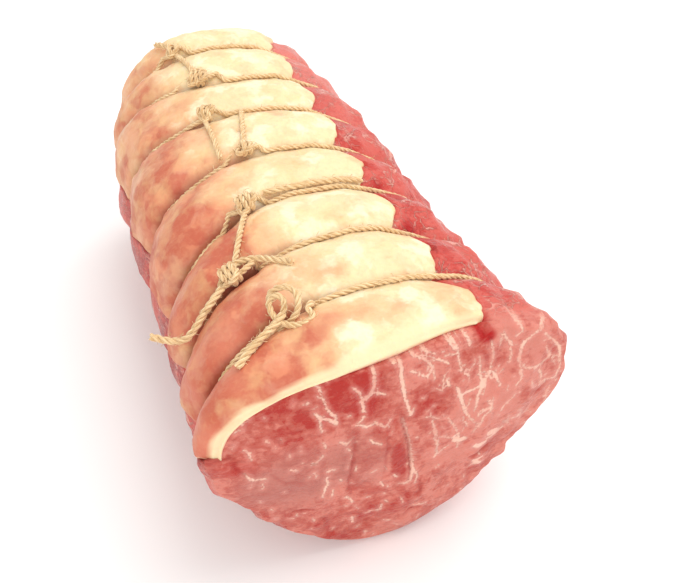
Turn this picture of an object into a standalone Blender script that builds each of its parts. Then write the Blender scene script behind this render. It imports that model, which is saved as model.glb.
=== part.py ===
"""A raw beef roasting joint: one long lean muscle under a cap of fat, tied round with butcher's twine.

Metres, +Z up. The joint lies along Y, its marbled cut face at -Y and its rounded back end at +Y.
The origin is on the table, on the flat that the joint rests on, just behind its middle tie.
"""

import math

import bpy
from mathutils import Vector

# Driving dimensions, in metres.
TIE_COUNT = 7
TIE_PITCH = 0.0333
FIRST_TIE_Y = -0.1105
FRONT_OVERHANG = 0.030  # from the first tie to the cut face
BACK_OVERHANG = 0.0332  # from the last tie to the back end
HALF_WIDTH = 0.060
CROWN = 0.108  # the height of the joint's top
FAT_THICKNESS = 0.0085
TWINE_RADIUS = 0.0012
GAP = 0.0004  # between pieces that touch, because they are faceted
CAP_GAP = 0.0006  # between the fat and the lean under it

TIE_YS = [FIRST_TIE_Y + k * TIE_PITCH for k in range(TIE_COUNT)]
FRONT_Y = TIE_YS[0] - FRONT_OVERHANG
BACK_Y = TIE_YS[-1] + BACK_OVERHANG

# The section is a flattened oval. Each list holds (y, value) stations along the joint.
RIGHT_WIDTHS = [
    (FRONT_Y, HALF_WIDTH + 0.0145),
    (TIE_YS[0], HALF_WIDTH + 0.0110),
    (TIE_YS[2], HALF_WIDTH + 0.0080),
    (TIE_YS[4], HALF_WIDTH + 0.0080),
    (BACK_Y, HALF_WIDTH - 0.0005),
]
LEFT_WIDTHS = [
    (FRONT_Y, HALF_WIDTH + 0.0095),
    (TIE_YS[0], HALF_WIDTH + 0.0075),
    (TIE_YS[2], HALF_WIDTH + 0.0055),
    (TIE_YS[4], HALF_WIDTH + 0.0055),
    (BACK_Y, HALF_WIDTH - 0.0085),
]
CROWNS = [
    (FRONT_Y, CROWN - 0.005),
    (TIE_YS[0], CROWN),
    (TIE_YS[2], CROWN),
    (TIE_YS[4], CROWN + 0.004),
    (BACK_Y, CROWN + 0.009),
]
WIDEST_HEIGHTS = [(FRONT_Y, 0.073), (TIE_YS[1], 0.057), (BACK_Y, 0.062)]
TOP_POWER = 2.3  # how square the oval's shoulders are
UNDER_POWERS = [(FRONT_Y, 1.42), (TIE_YS[2], 1.75), (BACK_Y, 1.85)]  # and its lower corners
UNDER_SINK = 0.005  # how far the oval would reach below the table it is pressed flat on

# The ties pull the surface in, and it bulges between them.
TOP_PINCH = 0.0020
SIDE_PINCH = 0.0040
GROOVE_WIDTH = 0.0038
SHOULDER = 0.0040  # from a groove's edge to the station where the bulge is half up
BULGE_POWER = 0.55
UNDER_GROOVE = 0.0036  # underneath, each groove is a slot in the flat that the joint rests on

# The ties aren't square to the joint: on its left each lies further forward (-) or back (+).
LEFT_SHIFTS = [
    (FRONT_Y, 0.0),
    (TIE_YS[0], -0.010),
    (TIE_YS[1], -0.013),
    (TIE_YS[2], -0.016),
    (TIE_YS[3], -0.004),
    (TIE_YS[4], 0.012),
    (TIE_YS[5], 0.028),
    (TIE_YS[6], 0.018),
    (BACK_Y, 0.0),
]
SHIFT_START = -0.005  # the x where the shift begins
SHIFT_REACH = 0.055  # and how far to the left it is complete
SHIFT_POWER = 1.6

# The end faces.
BACK_ROUNDING = 0.030
BACK_POWER = 4.5
FACE_BULGE = 0.006
FACE_RINGS = (0.35, 0.65, 0.86)
RIM_ROUNDING = ((0.0, 0.965), (0.0020, 0.992))  # (distance behind the face, shrink)
BACK_RINGS = (0.30, 0.60)

# The fat cap's two side edges, as (y, angle in degrees from the joint's right) stations.
FAT_RIGHT_EDGE = [(FRONT_Y, 62), (TIE_YS[0], 67), (TIE_YS[3], 67), (TIE_YS[5], 64), (BACK_Y, 58)]
FAT_LEFT_EDGE = [(FRONT_Y, 178), (TIE_YS[0], 166), (TIE_YS[3], 164), (TIE_YS[5], 168), (BACK_Y, 176)]
FAT_SCALLOP = 4  # degrees that each edge swells between ties
FAT_EDGE_SHARE = (0.55, 0.9)  # the thickness at the right and left edges, as a share
FAT_EDGE_DIP = 0.0012
CREASE_DEGREES = 2.5
CREASE_DEPTH = 0.0016
FAT_BACK_INSET = 0.004  # from the fat's back edge to the lean's back end
FAT_COLUMNS = 13
UNDER_COLUMNS = 17

# The knots, front to back: (x on the cap, size of the knot's own loops).
KNOTS = [
    (-0.026, 0.0021),
    (-0.038, 0.0017),
    (-0.022, 0.0017),
    (-0.013, 0.0016),
    (-0.020, 0.0016),
    (-0.016, 0.0018),
    (-0.020, 0.0015),
]
KNOT_TWINE_RADIUS = 0.0010
KNOT_THICKNESS = 0.0013  # how far its strands rise and dip as they cross
KNOT_CLEARANCE = 0.0010  # under it, because the cap bulges beside a tie
KNOT_POINTS = 18
KNOT_TURN = 0.9  # radians from each knot to the next

# Strands drawn tight over the cap, each as (tie, x) at its two ends.
LINKS = [
    ((2, -0.022), (1, -0.038)),
    ((4, -0.022), (3, -0.023)),
    ((4, -0.005), (3, -0.013)),
    ((5, -0.016), (6, -0.020)),
]
LINK_POINTS = 7
LINK_TRIM = 0.0068  # from a knot's middle to the strand's end

# The cut ends that lie loose on the cap, each as points from its knot to its tip.
TAILS = {
    "twine_tail_1": [
        (-0.0330, -0.1185, 0.1047),
        (-0.0370, -0.1200, 0.1034),
        (-0.0410, -0.1222, 0.1023),
        (-0.0452, -0.1247, 0.1011),
        (-0.0492, -0.1273, 0.0993),
    ],
    "twine_tail_2_long": [
        (-0.0448, -0.0890, 0.0983),
        (-0.0490, -0.0903, 0.0960),
        (-0.0527, -0.0914, 0.0932),
        (-0.0563, -0.0924, 0.0892),
        (-0.0602, -0.0928, 0.0855),
        (-0.0655, -0.0905, 0.0848),
        (-0.0716, -0.0870, 0.0862),
    ],
    "twine_tail_2_short": [
        (-0.0315, -0.0765, 0.1057),
        (-0.0275, -0.0765, 0.1071),
        (-0.0235, -0.0787, 0.1080),
        (-0.0205, -0.0830, 0.1085),
        (-0.0180, -0.0875, 0.1098),
    ],
    "twine_tail_3": [
        (-0.0140, -0.0412, 0.1079),
        (-0.0070, -0.0410, 0.1082),
        (0.0010, -0.0410, 0.1083),
        (0.0090, -0.0408, 0.1081),
        (0.0170, -0.0408, 0.1073),
        (0.0235, -0.0406, 0.1057),
        (0.0285, -0.0402, 0.1041),
    ],
    "twine_tail_7": [
        (-0.0228, 0.0985, 0.1148),
        (-0.0250, 0.1025, 0.1143),
        (-0.0275, 0.1062, 0.1130),
    ],
}
TAIL_STEPS = 2  # stretches of tube from one of those points to the next


def clear_scene():
    for old in list(bpy.data.objects):
        bpy.data.objects.remove(old)


def eased(y, stations):
    """The value at y on a curve that eases from station to station."""
    if y <= stations[0][0]:
        return stations[0][1]
    for (y0, v0), (y1, v1) in zip(stations, stations[1:]):
        if y <= y1:
            share = (y - y0) / (y1 - y0)
            return v0 + (v1 - v0) * share * share * (3 - 2 * share)
    return stations[-1][1]


def pinch_share(y):
    """1 where a tie holds the surface in, easing to 0 on the bulges between ties."""
    away = min(abs(y - tie_y) for tie_y in TIE_YS)
    free = max(0.0, away - GROOVE_WIDTH / 2) / (TIE_PITCH / 2 - GROOVE_WIDTH / 2)
    return 1 - min(1.0, free) ** BULGE_POWER


def slot_share(y):
    """1 over a tie and 0 from a groove's shoulder on, for the slots underneath."""
    away = min(abs(y - tie_y) for tie_y in TIE_YS)
    return min(1.0, max(0.0, GROOVE_WIDTH / 2 + SHOULDER - away) / SHOULDER)


def end_shrink(y):
    """How far the section has shrunk towards its middle where the back end rounds off."""
    into = max(0.0, y - (BACK_Y - BACK_ROUNDING)) / BACK_ROUNDING
    return (1 - min(1.0, into) ** BACK_POWER) ** (1 / BACK_POWER)


def outline(degrees, y, pinch):
    """The joint's outer surface at an angle round it, as (x, z), with the ties' pull times pinch."""
    cosine, sine = math.cos(math.radians(degrees)), math.sin(math.radians(degrees))
    top = sine > 0
    power = 2 / (TOP_POWER if top else eased(y, UNDER_POWERS))
    half_width = eased(y, RIGHT_WIDTHS if cosine > 0 else LEFT_WIDTHS)
    middle = eased(y, WIDEST_HEIGHTS)
    reach = eased(y, CROWNS) - middle if top else middle + UNDER_SINK
    pull = pinch * pinch_share(y)
    half_width -= pull * SIDE_PINCH
    reach -= pull * (TOP_PINCH if top else 0)
    shrink = end_shrink(y)
    x = math.copysign(half_width * abs(cosine) ** power, cosine) * shrink
    z = middle + math.copysign(reach * abs(sine) ** power, sine) * shrink
    return Vector((x, max(z, pinch * slot_share(y) * UNDER_GROOVE)))


def column_angles(y):
    """The angles of the section's points: across the fat cap, then on round the lean."""
    swell = FAT_SCALLOP * (1 - pinch_share(y))
    right = eased(y, FAT_RIGHT_EDGE) - swell
    left = eased(y, FAT_LEFT_EDGE) + swell
    across = [right + (left - right) * k / (FAT_COLUMNS - 1) for k in range(FAT_COLUMNS)]
    start, stop = left + CREASE_DEGREES, 360 + right - CREASE_DEGREES
    round_lean = [
        start + (stop - start) * k / (UNDER_COLUMNS - 1) for k in range(UNDER_COLUMNS)
    ]
    return across + round_lean


def section(y, pinch=1.0):
    return [outline(degrees, y, pinch) for degrees in column_angles(y)]


def moved_out(points, distances):
    """A closed row of (x, z) points, each moved out of the ring by its own distance."""
    moved = []
    for k, point in enumerate(points):
        along = points[(k + 1) % len(points)] - points[k - 1]
        outward = Vector((along.y, -along.x)).normalized()
        moved.append(point + outward * distances[k])
    return moved


def fat_share(column):
    """The fat's thickness at one of its columns, as a share of the full thickness."""
    at = column / (FAT_COLUMNS - 1)
    from_right, from_left = min(1, at / 0.3), min(1, (1 - at) / 0.2)
    right = FAT_EDGE_SHARE[0] + (1 - FAT_EDGE_SHARE[0]) * from_right
    left = FAT_EDGE_SHARE[1] + (1 - FAT_EDGE_SHARE[1]) * from_left
    return min(right, left)


def lean_section(y):
    """The lean's outline: full size where it is bare, and one fat's thickness smaller below the cap."""
    depths = [-(FAT_THICKNESS * fat_share(k) + CAP_GAP) for k in range(FAT_COLUMNS)]
    creases = [-CREASE_DEPTH] + [0.0] * (UNDER_COLUMNS - 2) + [-CREASE_DEPTH]
    return moved_out(section(y), depths + creases)


def body_rows():
    """The y stations of the loft: both sides of each groove, its shoulders and the bulge between."""
    rows = [FRONT_Y + 0.006, TIE_YS[0] - 0.010]
    half, shoulder = GROOVE_WIDTH / 2, GROOVE_WIDTH / 2 + SHOULDER
    for tie_y in TIE_YS:
        rows += [tie_y - half, tie_y + half, tie_y + shoulder]
        if tie_y != TIE_YS[-1]:
            rows += [tie_y + TIE_PITCH / 2, tie_y + TIE_PITCH - shoulder]
    rows += [BACK_Y - BACK_ROUNDING * share for share in (0.9, 0.5, 0.25, 0.08)]
    return rows


def loft(name, rings, front_tip=None, back_tip=None):
    """A closed mesh over rings of points, each end closed by a fan to its tip or by one flat face."""
    points = [point for ring in rings for point in ring]
    count = len(rings[0])
    faces = []
    for row in range(len(rings) - 1):
        for k in range(count):
            a, b = row * count + k, row * count + (k + 1) % count
            faces.append((a, a + count, b + count, b))
    last = (len(rings) - 1) * count
    for tip, first, flip in ((front_tip, 0, False), (back_tip, last, True)):
        edge = [first + k for k in range(count)]
        if tip is None:
            faces.append(edge[::-1] if flip else edge)
            continue
        points.append(tip)
        for k in range(count):
            corner = (edge[k], edge[(k + 1) % count], len(points) - 1)
            faces.append(corner[::-1] if flip else corner)
    mesh = bpy.data.meshes.new(name)
    mesh.from_pydata(points, [], faces)
    mesh.shade_smooth()
    return bpy.data.objects.new(name, mesh)


def in_space(flat_points, y):
    """The section's points (x, z) in space, where the slant of the ties carries everything with it."""
    points = []
    for point in flat_points:
        share = min(1.0, max(0.0, SHIFT_START - point.x) / SHIFT_REACH) ** SHIFT_POWER
        points.append(Vector((point.x, y + eased(y, LEFT_SHIFTS) * share, point.y)))
    return points


def shrunk(points, middle, share):
    return [middle + (point - middle) * share for point in points]


def make_lean():
    """The muscle: a loft of its sections, with a domed cut face and a rounded back end."""
    face = lean_section(FRONT_Y)
    face_middle = Vector((0.0, eased(FRONT_Y, CROWNS) * 0.5))
    rings = []
    for share in FACE_RINGS:
        y = FRONT_Y - FACE_BULGE * (1 - share * share)
        rings.append(in_space(shrunk(face, face_middle, share), y))
    for behind, share in RIM_ROUNDING:
        rings.append(in_space(shrunk(face, face_middle, share), FRONT_Y + behind))
    rings += [in_space(lean_section(y), y) for y in body_rows()]
    last_y = body_rows()[-1]
    back = lean_section(last_y)
    back_middle = Vector((0.0, eased(BACK_Y, WIDEST_HEIGHTS)))
    for share in BACK_RINGS[::-1]:
        y = last_y + (BACK_Y - last_y) * math.sqrt(1 - share * share)
        rings.append(in_space(shrunk(back, back_middle, share), y))
    front_tip = Vector((face_middle.x, FRONT_Y - FACE_BULGE, face_middle.y))
    back_tip = Vector((back_middle.x, BACK_Y, back_middle.y))
    return loft("lean", rings, front_tip, back_tip)


def make_fat_cap():
    """The cap: its outer face is the joint's own surface, its inner face lies on the lean."""
    rows = [FRONT_Y, *body_rows()]
    rows = [y for y in rows if y <= BACK_Y - FAT_BACK_INSET]
    dips = [FAT_EDGE_DIP] + [0.0] * (FAT_COLUMNS - 2) + [FAT_EDGE_DIP]
    rest = [0.0] * UNDER_COLUMNS
    rings = []
    for y in rows:
        whole = section(y)
        outer = moved_out(whole, [-dip for dip in dips] + rest)[:FAT_COLUMNS]
        depths = [-FAT_THICKNESS * fat_share(k) for k in range(FAT_COLUMNS)]
        inner = moved_out(whole, depths + rest)[:FAT_COLUMNS]
        rings.append(in_space(outer + inner[::-1], y))
    return loft("fat_cap", rings)


def cap_point(x, y, lift):
    """A point above the top of the joint at x, y, lift clear of it, with the way out of the surface."""
    ring = section(y)
    at = next(k for k in range(FAT_COLUMNS - 1) if ring[k + 1].x <= x)
    along = (ring[at + 1] - ring[at]).normalized()
    out = Vector((along.y, -along.x))
    share = (ring[at].x - x) / (ring[at].x - ring[at + 1].x)
    point = ring[at].lerp(ring[at + 1], share) + out * lift
    return in_space([point], y)[0], Vector((out.x, 0, out.y))


def tube(name, points, radius, closed=False, side_resolution=1):
    """A twine's strand: a polyline with a round section and closed ends."""
    curve = bpy.data.curves.new(name, "CURVE")
    curve.dimensions = "3D"
    curve.bevel_depth = radius
    curve.bevel_resolution = side_resolution
    curve.use_fill_caps = not closed
    line = curve.splines.new("POLY")
    line.points.add(len(points) - 1)
    for spot, point in zip(line.points, points):
        spot.co = (*point, 1)
    line.use_cyclic_u = closed
    return bpy.data.objects.new(name, curve)


def trimmed(points, reach):
    """A polyline without the first stretch of length reach."""
    points = list(points)
    while (points[1] - points[0]).length < reach:
        reach -= (points[1] - points[0]).length
        points.pop(0)
    points[0] = points[0].lerp(points[1], reach / (points[1] - points[0]).length)
    return points


def make_loop(tie, knot_x, reach):
    """A tie's twine, from one side of its knot right round the joint to the other side."""
    y = TIE_YS[tie]
    ring = moved_out(section(y), [TWINE_RADIUS + GAP] * (FAT_COLUMNS + UNDER_COLUMNS))
    at = next(k for k in range(FAT_COLUMNS - 1) if ring[k + 1].x <= knot_x)
    share = (ring[at].x - knot_x) / (ring[at].x - ring[at + 1].x)
    knot = ring[at].lerp(ring[at + 1], share)
    course = [knot, *ring[at + 1:], *ring[:at + 1], knot]
    course = trimmed(trimmed(course, reach)[::-1], reach)
    return tube(f"twine_loop_{tie + 1}", in_space(course, y), TWINE_RADIUS)


def make_knot(tie, knot_x, size):
    """A knot: one strand that winds three times over and under itself, lying on the cap."""
    lift = KNOT_TWINE_RADIUS + KNOT_THICKNESS + GAP + KNOT_CLEARANCE
    middle, out = cap_point(knot_x, TIE_YS[tie], lift)
    lengthwise = Vector((0, 1, 0))
    across = lengthwise.cross(out)
    points = []
    for k in range(KNOT_POINTS):
        t = 2 * math.pi * k / KNOT_POINTS
        u = math.sin(t + tie * KNOT_TURN) + 2 * math.sin(2 * t - tie * KNOT_TURN)
        v = math.cos(t + tie * KNOT_TURN) - 2 * math.cos(2 * t - tie * KNOT_TURN)
        height = -math.sin(3 * t) * KNOT_THICKNESS
        points.append(middle + across * u * size + lengthwise * v * size + out * height)
    return tube(f"knot_{tie + 1}", points, KNOT_TWINE_RADIUS, closed=True)


def make_link(number, start, stop):
    """A strand drawn tight over the cap from beside one knot to beside another."""
    points = []
    for k in range(LINK_POINTS):
        share = k / (LINK_POINTS - 1)
        y = TIE_YS[start[0]] + (TIE_YS[stop[0]] - TIE_YS[start[0]]) * share
        x = start[1] + (stop[1] - start[1]) * share
        points.append(cap_point(x, y, TWINE_RADIUS + 2 * GAP)[0])
    points = trimmed(trimmed(points, LINK_TRIM)[::-1], LINK_TRIM)
    return tube(f"twine_link_{number}", points, TWINE_RADIUS)


def make_tail(name, route):
    """A cut end of twine: a tube along the smooth curve through its route's points."""
    stops = [Vector(point) for point in route]
    stops = [stops[0] * 2 - stops[1], *stops, stops[-1] * 2 - stops[-2]]
    points = []
    for before, start, stop, after in zip(stops, stops[1:], stops[2:], stops[3:]):
        for step in range(TAIL_STEPS):
            t = step / TAIL_STEPS
            bend = (start - stop) * 3 + after - before
            turn = before * 2 - start * 5 + stop * 4 - after
            points.append(start + ((stop - before) * t + turn * t * t + bend * t ** 3) / 2)
    return tube(name, [*points, stops[-2]], TWINE_RADIUS, side_resolution=2)


def finish(node, material):
    node.data.materials.append(material)
    joint.objects.link(node)
    return node


def new_material(name, colour, roughness):
    material = bpy.data.materials.new(name)
    material.use_nodes = True
    shader = material.node_tree.nodes["Principled BSDF"]
    shader.inputs["Base Color"].default_value = (*colour, 1)
    shader.inputs["Roughness"].default_value = roughness
    shader.inputs["Metallic"].default_value = 0.0
    return material


clear_scene()
joint = bpy.data.collections.new("beef_joint")
bpy.context.scene.collection.children.link(joint)
LEAN = new_material("raw_lean", (0.62, 0.13, 0.12), 0.35)
FAT = new_material("fat", (0.92, 0.76, 0.52), 0.5)
TWINE = new_material("twine", (0.66, 0.52, 0.34), 0.9)

finish(make_lean(), LEAN)
finish(make_fat_cap(), FAT)
for tie, (knot_x, size) in enumerate(KNOTS):
    finish(make_knot(tie, knot_x, size), TWINE)
    finish(make_loop(tie, knot_x, 3 * size + KNOT_TWINE_RADIUS + 3 * GAP), TWINE)
for number, (start, stop) in enumerate(LINKS, 1):
    finish(make_link(number, start, stop), TWINE)
for name, route in TAILS.items():
    finish(make_tail(name, route), TWINE)
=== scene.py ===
import math

import bpy
import numpy as np
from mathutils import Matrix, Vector, kdtree, noise
from mathutils.bvhtree import BVHTree


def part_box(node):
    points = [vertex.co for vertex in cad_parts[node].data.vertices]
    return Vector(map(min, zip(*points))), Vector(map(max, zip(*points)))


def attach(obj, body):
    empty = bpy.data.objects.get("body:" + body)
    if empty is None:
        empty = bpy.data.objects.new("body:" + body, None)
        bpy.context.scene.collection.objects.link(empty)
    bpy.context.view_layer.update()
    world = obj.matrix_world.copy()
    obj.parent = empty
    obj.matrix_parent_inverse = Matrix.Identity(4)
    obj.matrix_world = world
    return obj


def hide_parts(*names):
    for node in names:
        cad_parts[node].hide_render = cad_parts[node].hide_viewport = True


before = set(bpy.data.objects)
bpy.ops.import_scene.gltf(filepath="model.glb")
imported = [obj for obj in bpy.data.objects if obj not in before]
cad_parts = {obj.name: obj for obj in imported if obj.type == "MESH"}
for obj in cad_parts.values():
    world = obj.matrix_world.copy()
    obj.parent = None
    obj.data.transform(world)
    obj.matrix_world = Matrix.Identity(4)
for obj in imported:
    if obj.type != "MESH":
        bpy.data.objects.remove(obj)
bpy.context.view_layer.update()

# --- The tied shape -----------------------------------------------------------------------------
# The muscle and its fat are one long roll that seven ties pull in. Each tie runs a little forward or
# back on the roll's left, and everything near it leans with it. A place on the roll is its station,
# which is its y on the right side, and its angle round the roll's middle line, from +X over the top.
TIES = 7
TWINE_RADIUS = 0.0012
AXIS_HEIGHT = 0.055
SLANT_START = -0.005  # the x where the ties start to lean
SLANT_REACH = 0.055  # and how far to the left of it they lean in full
SLANT_POWER = 1.6
FACETS_AWAY = 6.0  # degrees over which the frame's flat facets are rounded off
BACK_DOME = 0.0024


def node_points(name):
    """The corners of one of the frame's nodes, as an array (n, 3)."""
    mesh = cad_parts[name].data
    points = np.empty(len(mesh.vertices) * 3)
    mesh.vertices.foreach_get("co", points)
    return points.reshape(-1, 3)


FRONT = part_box("fat_cap")[0].y
FAT_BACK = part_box("fat_cap")[1].y
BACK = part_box("lean")[1].y
tie_stations, tie_slants = [], []
for number in range(1, TIES + 1):
    loop = node_points(f"twine_loop_{number}")
    station = loop[loop[:, 0] > 0, 1].mean()
    tie_stations.append(station)
    tie_slants.append(loop[loop[:, 0] < loop[:, 0].min() + 0.004, 1].mean() - station)
SLANT_STATIONS = np.array([FRONT, *tie_stations, BACK])
SLANTS = np.array([0.0, *tie_slants, 0.0])


def eased(share):
    """A share kept from 0 to 1, which starts and ends softly."""
    share = np.clip(share, 0, 1)
    return share * share * (3 - 2 * share)


def eased_steps(x, stations, values):
    """Values that ease from one station to the next."""
    stations, values = np.asarray(stations), np.asarray(values)
    at = np.clip(np.searchsorted(stations, x) - 1, 0, len(stations) - 2)
    share = eased((x - stations[at]) / (stations[at + 1] - stations[at]))
    return values[at] + (values[at + 1] - values[at]) * share


def smooth_noise(points, scale, seed=0.0):
    """Soft noise from -1 to 1 over points (n, 3), with lumps about scale metres across."""
    points = np.asarray(points) / scale + np.array([seed, seed * 1.7, -seed])
    return np.array([noise.noise(Vector(point)) for point in points.tolist()])


def leaned(station, x):
    """The y of a place on the roll, from its station and its x."""
    share = np.clip((SLANT_START - x) / SLANT_REACH, 0, 1) ** SLANT_POWER
    return station + eased_steps(station, SLANT_STATIONS, SLANTS) * share


def tie_distance(station):
    """How far the nearest tie is."""
    return np.abs(np.asarray(station)[..., None] - np.array(tie_stations)).min(-1)


def soft_peak(distance, reach):
    """1 at no distance, falling softly to 0 beyond the reach."""
    return np.exp(-(distance / reach) ** 2)


def stations_between(start, stop, near, far):
    """Stations that stand near apart beside a tie and far apart between ties."""
    stations = [start]
    while stations[-1] < stop:
        close = float(soft_peak(tie_distance(stations[-1]), 0.005))
        stations.append(stations[-1] + far + (near - far) * close)
    return np.array(stations[:-1] + [stop])


def solid(*names):
    """A tree of the named nodes' faces, to cast rays at."""
    points, faces = [], []
    for name in names:
        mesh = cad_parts[name].data
        faces += [[k + len(points) for k in face.vertices] for face in mesh.polygons]
        points += [vertex.co.copy() for vertex in mesh.vertices]
    return BVHTree.FromPolygons(points, faces)


CAST_ANGLES = np.radians(np.arange(0, 360, 1.5))
USUAL_RADIUS = 0.06
OUTSIDE = 0.2  # further from the middle line than any part of the roll


def cast(tree, stations):
    """How far the solid reaches from the roll's middle line, at each station and angle."""
    radii = np.full((len(stations), len(CAST_ANGLES)), USUAL_RADIUS)
    for _ in range(2):
        for row, station in enumerate(stations):
            ys = leaned(station, radii[row] * np.cos(CAST_ANGLES))
            for k, angle in enumerate(CAST_ANGLES):
                way = Vector((math.cos(angle), 0, math.sin(angle)))
                middle = Vector((0, ys[k], AXIS_HEIGHT))
                hit = tree.ray_cast(middle + way * OUTSIDE, -way)[0]
                radii[row, k] = (hit - middle).length if hit else 0.0
    return radii


def rounded(radii, columns):
    """Radii round the roll with the facets smoothed off, at that many even columns."""
    waves = np.fft.rfft(radii, axis=1)
    order = np.arange(waves.shape[1])
    waves *= np.exp(-0.5 * (order * math.radians(FACETS_AWAY)) ** 2)
    kept = np.zeros((len(radii), columns // 2 + 1), complex)
    kept[:, :waves.shape[1]] = waves
    return np.fft.irfft(kept, columns, axis=1) * columns / radii.shape[1]


def mesh_piece(name, points, faces):
    """A smooth piece in the scene, from its points and faces."""
    mesh = bpy.data.meshes.new(name)
    mesh.from_pydata(np.asarray(points).tolist(), [], faces)
    mesh.shade_smooth()
    piece = bpy.data.objects.new(name, mesh)
    bpy.context.scene.collection.objects.link(piece)
    return piece


def ring_faces(rings, columns):
    """The quads between closed rings of points, row after row."""
    faces = []
    for row in range(rings - 1):
        for k in range(columns):
            a, b = row * columns + k, row * columns + (k + 1) % columns
            faces.append((a, a + columns, b + columns, b))
    return faces


def store(piece, name, values):
    """Keeps a value for each of a piece's points, for its material to read."""
    piece.data.attributes.new(name, "FLOAT", "POINT").data.foreach_set("value", np.ravel(values))


# --- The lean muscle ----------------------------------------------------------------------------
# One long boned-out beef muscle, raw and moist. Its front is a fresh cut across the grain, marbled
# with branching white fat. Its sides are lumpy, bulge between the ties and carry silvery membrane.
LEAN_COLUMNS = 448
FACE_RINGS = 100
DOME_RINGS = 12
ROLL_RADIUS = 0.055  # about, to turn angles into lengths
FAT_THICKNESS = 0.0085
FAT_ACROSS = (0.0, 0.3, 0.5, 0.75, 0.95, 1.0)  # shares of the way from its right edge to its left one
FAT_SHARES = (0.45, 0.92, 0.84, 0.72, 0.86, 0.80)  # its thickness there, as shares of the full one
FAT_LEAST = 0.002  # where the frame has less than this on the lean, there is no fat
FAT_BITE = 0.0005  # how far the muscle presses into its fat
RIGHT_EDGE_WAVES = ((0.009, 2.0, 2.6), (0.003, 6.0, 1.0))  # each wave's length, its seed and its degrees
LEFT_EDGE_WAVES = ((0.012, 4.0, 3.0),)
RIGHT_CORNER = (6.5, 0.009)  # degrees by which the fat's front corner draws in, and over what length
LEFT_CORNER = (7.0, 0.010)
LEAN_LUMPS = ((0.018, 3.1, 0.0024), (0.008, 8.4, 0.0010), (0.0035, 9.7, 0.0003))  # width, seed, height
RAGGED_LUMPS = ((0.0055, 12.0, 0.0028),)  # low on the right of the cut
STRIP_LUMPS = ((0.0075, 15.0, 0.0016),)  # on the bare strips beside the fat
TIE_GROOVE = 0.0012
GROOVE_WIDTH = 0.0017
LEAN_SWELL = 0.0020
HALF_SPACING = 0.0166  # from a tie to the top of the bulge beside it
PILLOW_POWER = 3.1
PILLOW_LEVEL = 0.55  # the share of a bulge that stays below the roll's even surface
DIP_DEPTH = 0.0012  # how far the bare lean sinks beside the fat
DIP_REACH = 0.006
LYING_FLAT = 0.004  # up to this height it rests on the table, without lumps
LUMPS_FULL = 0.015  # and this much higher they are whole

stations = stations_between(FRONT, BACK - BACK_DOME, 0.0016, 0.0034)
angles = np.linspace(0, 2 * math.pi, LEAN_COLUMNS, endpoint=False)
outer_cast = cast(solid("lean", "fat_cap"), stations)
lean_cast = cast(solid("lean"), stations)
outer = rounded(outer_cast, LEAN_COLUMNS)


def lumpy(points, sizes):
    """Noise of several sizes added up, from each one's width, seed and height."""
    return sum(smooth_noise(points, wide, seed) * high for wide, seed, high in sizes)


# Where the fat lies: its right and left edges at each station, in degrees.
covered = outer_cast - lean_cast > FAT_LEAST
degrees = np.degrees(CAST_ANGLES)
fat_right = np.array([degrees[row & (degrees < 120)].min(initial=60) for row in covered])
fat_left = np.array([degrees[row & (degrees > 120)].max(initial=170) for row in covered])
fat_right[stations > FAT_BACK] = fat_right[stations <= FAT_BACK][-1]
fat_left[stations > FAT_BACK] = fat_left[stations <= FAT_BACK][-1]
along_edge = np.stack([stations * 0, stations, stations * 0], 1)
fat_right += lumpy(along_edge, RIGHT_EDGE_WAVES)
fat_right += RIGHT_CORNER[0] * soft_peak(stations - FRONT, RIGHT_CORNER[1])
fat_left += lumpy(along_edge, LEFT_EDGE_WAVES)
fat_left -= LEFT_CORNER[0] * soft_peak(stations - FRONT, LEFT_CORNER[1])


def fat_depth(station, degrees):
    """How thick the fat is at a place on the roll."""
    right, left = np.interp(station, stations, fat_right), np.interp(station, stations, fat_left)
    share = np.clip((degrees - right) / (left - right), 0, 1)
    return FAT_THICKNESS * np.interp(share, FAT_ACROSS, FAT_SHARES)


def pillow(station):
    """0 on a tie, rising fast to 1 on the bulge halfway to the next."""
    free = np.clip(tie_distance(station) / HALF_SPACING, 0, 1)
    return 1 - (1 - free) ** PILLOW_POWER


def on_roll(stations, angles, radii):
    """Points in space from grids of stations, angles and radii."""
    x = radii * np.cos(angles)
    return np.stack([x, leaned(stations, x), AXIS_HEIGHT + radii * np.sin(angles)], -1)


grid_s, grid_a = np.meshgrid(stations, angles, indexing="ij")
places = on_roll(grid_s, grid_a, outer).reshape(-1, 3)
lumps = lumpy(places, LEAN_LUMPS).reshape(outer.shape)
side = np.degrees(grid_a)
ragged = soft_peak(side - 340, 28) * soft_peak(grid_s - FRONT, 0.010)
lumps += ragged * lumpy(places, RAGGED_LUMPS).reshape(outer.shape)
strips = soft_peak(side - 30, 24) + soft_peak(side - 205, 26)
lumps += strips * lumpy(places, STRIP_LUMPS).reshape(outer.shape)
above_table = np.clip((places[:, 2].reshape(outer.shape) - LYING_FLAT) / LUMPS_FULL, 0, 1)
groove = soft_peak(tie_distance(grid_s), GROOVE_WIDTH) * TIE_GROOVE
bulge = (pillow(grid_s) - PILLOW_LEVEL) * LEAN_SWELL - groove
under_cap = (side > fat_right[:, None]) & (side < fat_left[:, None]) & (grid_s < FAT_BACK)
from_edge = np.radians(np.minimum(
    np.where(side < 120, fat_right[:, None] - side, 360 + fat_right[:, None] - side),
    np.where(side > 120, side - fat_left[:, None], 360),
)) * ROLL_RADIUS
dip = np.where(under_cap, 0, DIP_DEPTH * np.exp(-np.clip(from_edge, 0, 1) / DIP_REACH))
lean_radii = outer + (lumps + bulge) * above_table - dip * above_table
lean_radii = np.where(under_cap, outer - fat_depth(grid_s, side) + FAT_BITE, lean_radii)
body = on_roll(grid_s, grid_a, lean_radii)
body[..., 2] = np.maximum(body[..., 2], 0)

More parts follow.
